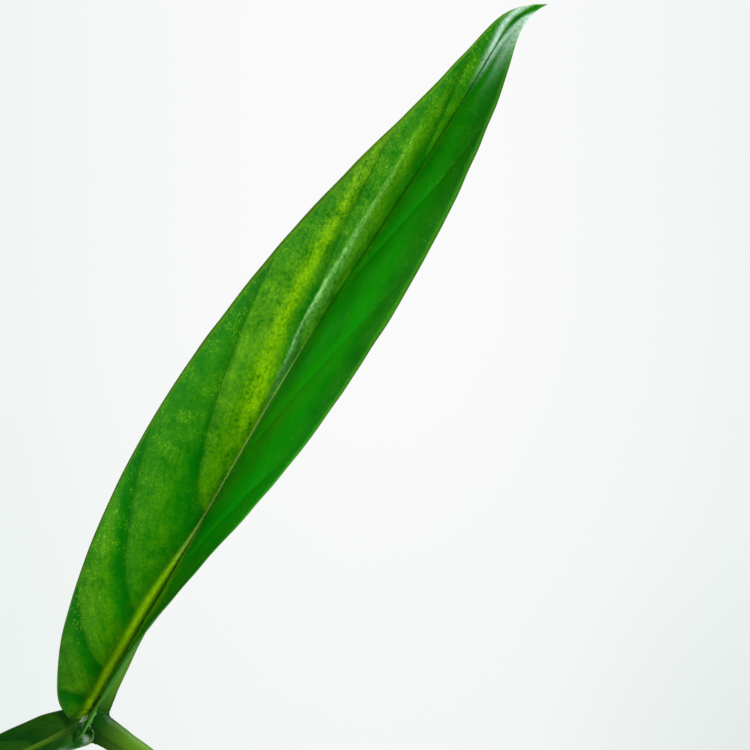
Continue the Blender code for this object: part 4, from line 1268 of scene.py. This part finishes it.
def make_camera():
    """Level camera close in front of the first leaf, looking along +Y."""
    lens = bpy.data.cameras.new("camera")
    lens.lens = LENS
    lens.sensor_width = SENSOR
    lens.clip_start = 0.01
    camera = bpy.data.objects.new("camera", lens)
    camera.location = CAMERA_PLACE
    camera.rotation_euler = (math.radians(90), 0, 0)
    bpy.context.scene.collection.objects.link(camera)
    bpy.context.scene.camera = camera


def make_floor():
    """Pale round floor that fades out before its edge."""
    count, turn = 24, 96
    reach = np.linspace(0.02, 1, count)[:, None] * FLOOR_REACH
    points = turned(reach, 0 * reach, angles(turn)).reshape(-1, 3) - (0, 0, 0.05 * MM)
    floor = add_piece("studio_floor", points, [*ring_faces(count, turn)[:, ::-1], np.arange(turn)])
    finish = Finish("studio_floor")
    here = finish.place()
    away = Amount(finish, finish.add("VectorMath", {"operation": "LENGTH"}, {0: here}).outputs["Value"])
    clear = away.eased(FLOOR_REACH * 0.55, FLOOR_REACH * 0.99)
    cloud = finish.noise(here, 3, 2)
    colour = finish.mix(cloud, (0.66, 0.68, 0.675), (0.70, 0.72, 0.715))
    sockets = {"Base Color": colour, "Roughness": 0.9, "Specular IOR Level": 0.1}
    shader = finish.add("BsdfPrincipled", None, sockets)
    gone = finish.add("BsdfTransparent")
    both = finish.add("MixShader", None, {0: clear, 1: shader.outputs[0], 2: gone.outputs[0]})
    finish.tree.links.new(both.outputs[0], finish.output.inputs[0])
    floor.data.materials.append(finish.material)
    floor.visible_glossy = False


def make_world():
    """Pale surround to the eye, with less light for dull surfaces and far less for glossy ones.

    What the eye sees is darkened by 4.5 times the square of how far a direction leans sideways, held to a
    limit, and by a share of how far it leans down, then once more low on the right.
    """
    world = bpy.data.worlds.new("studio")
    bpy.context.scene.world = world
    sky = Finish("studio_sky", world)
    parts = sky.add("SeparateXYZ", None, {0: sky.add("TexCoord").outputs["Generated"]})
    aside, down = Amount(sky, parts.outputs[0]), 0 - Amount(sky, parts.outputs[2])
    low = down.eased(-0.05, 0.30)
    shade = (aside * aside * 4.5).at_most(0.13) + low * 0.12
    corner = aside.eased(0.06, 0.22) * down.eased(0.06, 0.22) * 0.16
    seen = sky.mix(shade * 4, (0.955, 0.958, 0.955), (0.80, 0.87, 0.85))
    seen = sky.mix(corner * 3, seen, (0.66, 0.70, 0.69))
    ray = sky.add("LightPath")
    shown = sky.add("Background", None, {0: seen})
    dull = sky.add("Background", None, {0: (0.95, 1.0, 0.98), 1: 0.42})
    shine = sky.add("Background", None, {0: (1, 1, 1), 1: 0.012})
    glossy, eye = ray.outputs["Is Glossy Ray"], ray.outputs["Is Camera Ray"]
    unseen = sky.add("MixShader", None, {0: glossy, 1: dull.outputs[0], 2: shine.outputs[0]})
    both = sky.add("MixShader", None, {0: eye, 1: unseen.outputs[0], 2: shown.outputs[0]})
    sky.tree.links.new(both.outputs[0], sky.output.inputs[0])


def add_light(name, place, width, height, power, mirrored):
    """A soft rectangular light turned to face the plant."""
    lamp = bpy.data.lights.new(name, "AREA")
    lamp.shape = "RECTANGLE"
    lamp.size, lamp.size_y = width, height
    lamp.energy = power
    light = bpy.data.objects.new(name, lamp)
    light.location = place
    light.rotation_euler = (Vector(LIT_POINT) - Vector(place)).to_track_quat("-Z", "Y").to_euler()
    light.visible_camera = False
    light.visible_glossy = mirrored
    bpy.context.scene.collection.objects.link(light)


# ----- The plant -----


def main():
    """Make every piece, then the studio."""
    leaf, stalk, stem = leaf_finish(), stalk_finish(), stem_finish()
    for one in LEAVES:
        pieces = [make_blade(one, leaf), make_stalk(one, stalk)]
        check_leaf(one, pieces)
    for one in STEMS:
        make_stem(one, stem)
    new_leaf, root, sheath = new_leaf_finish(), root_finish(), sheath_finish()
    for one in NEW_LEAVES:
        make_new_leaf(*one, new_leaf)
    for one in AERIAL_ROOTS:
        make_aerial_root(*one, root)
    for one in SHEATHS:
        make_sheath(*one, sheath)
    make_pot(clay_finish())
    make_mix(mix_finish())
    bark, perlite = bark_finish(), perlite_finish()
    for grains, finish in zip(GRAINS, (bark, perlite, bark)):
        make_scatter(*grains, finish)
    make_fibres(fibre_finish())
    make_camera()
    make_floor()
    make_world()
    for one in LIGHTS:
        add_light(*one)
    bpy.context.scene.view_settings.view_transform = "Standard"


main()
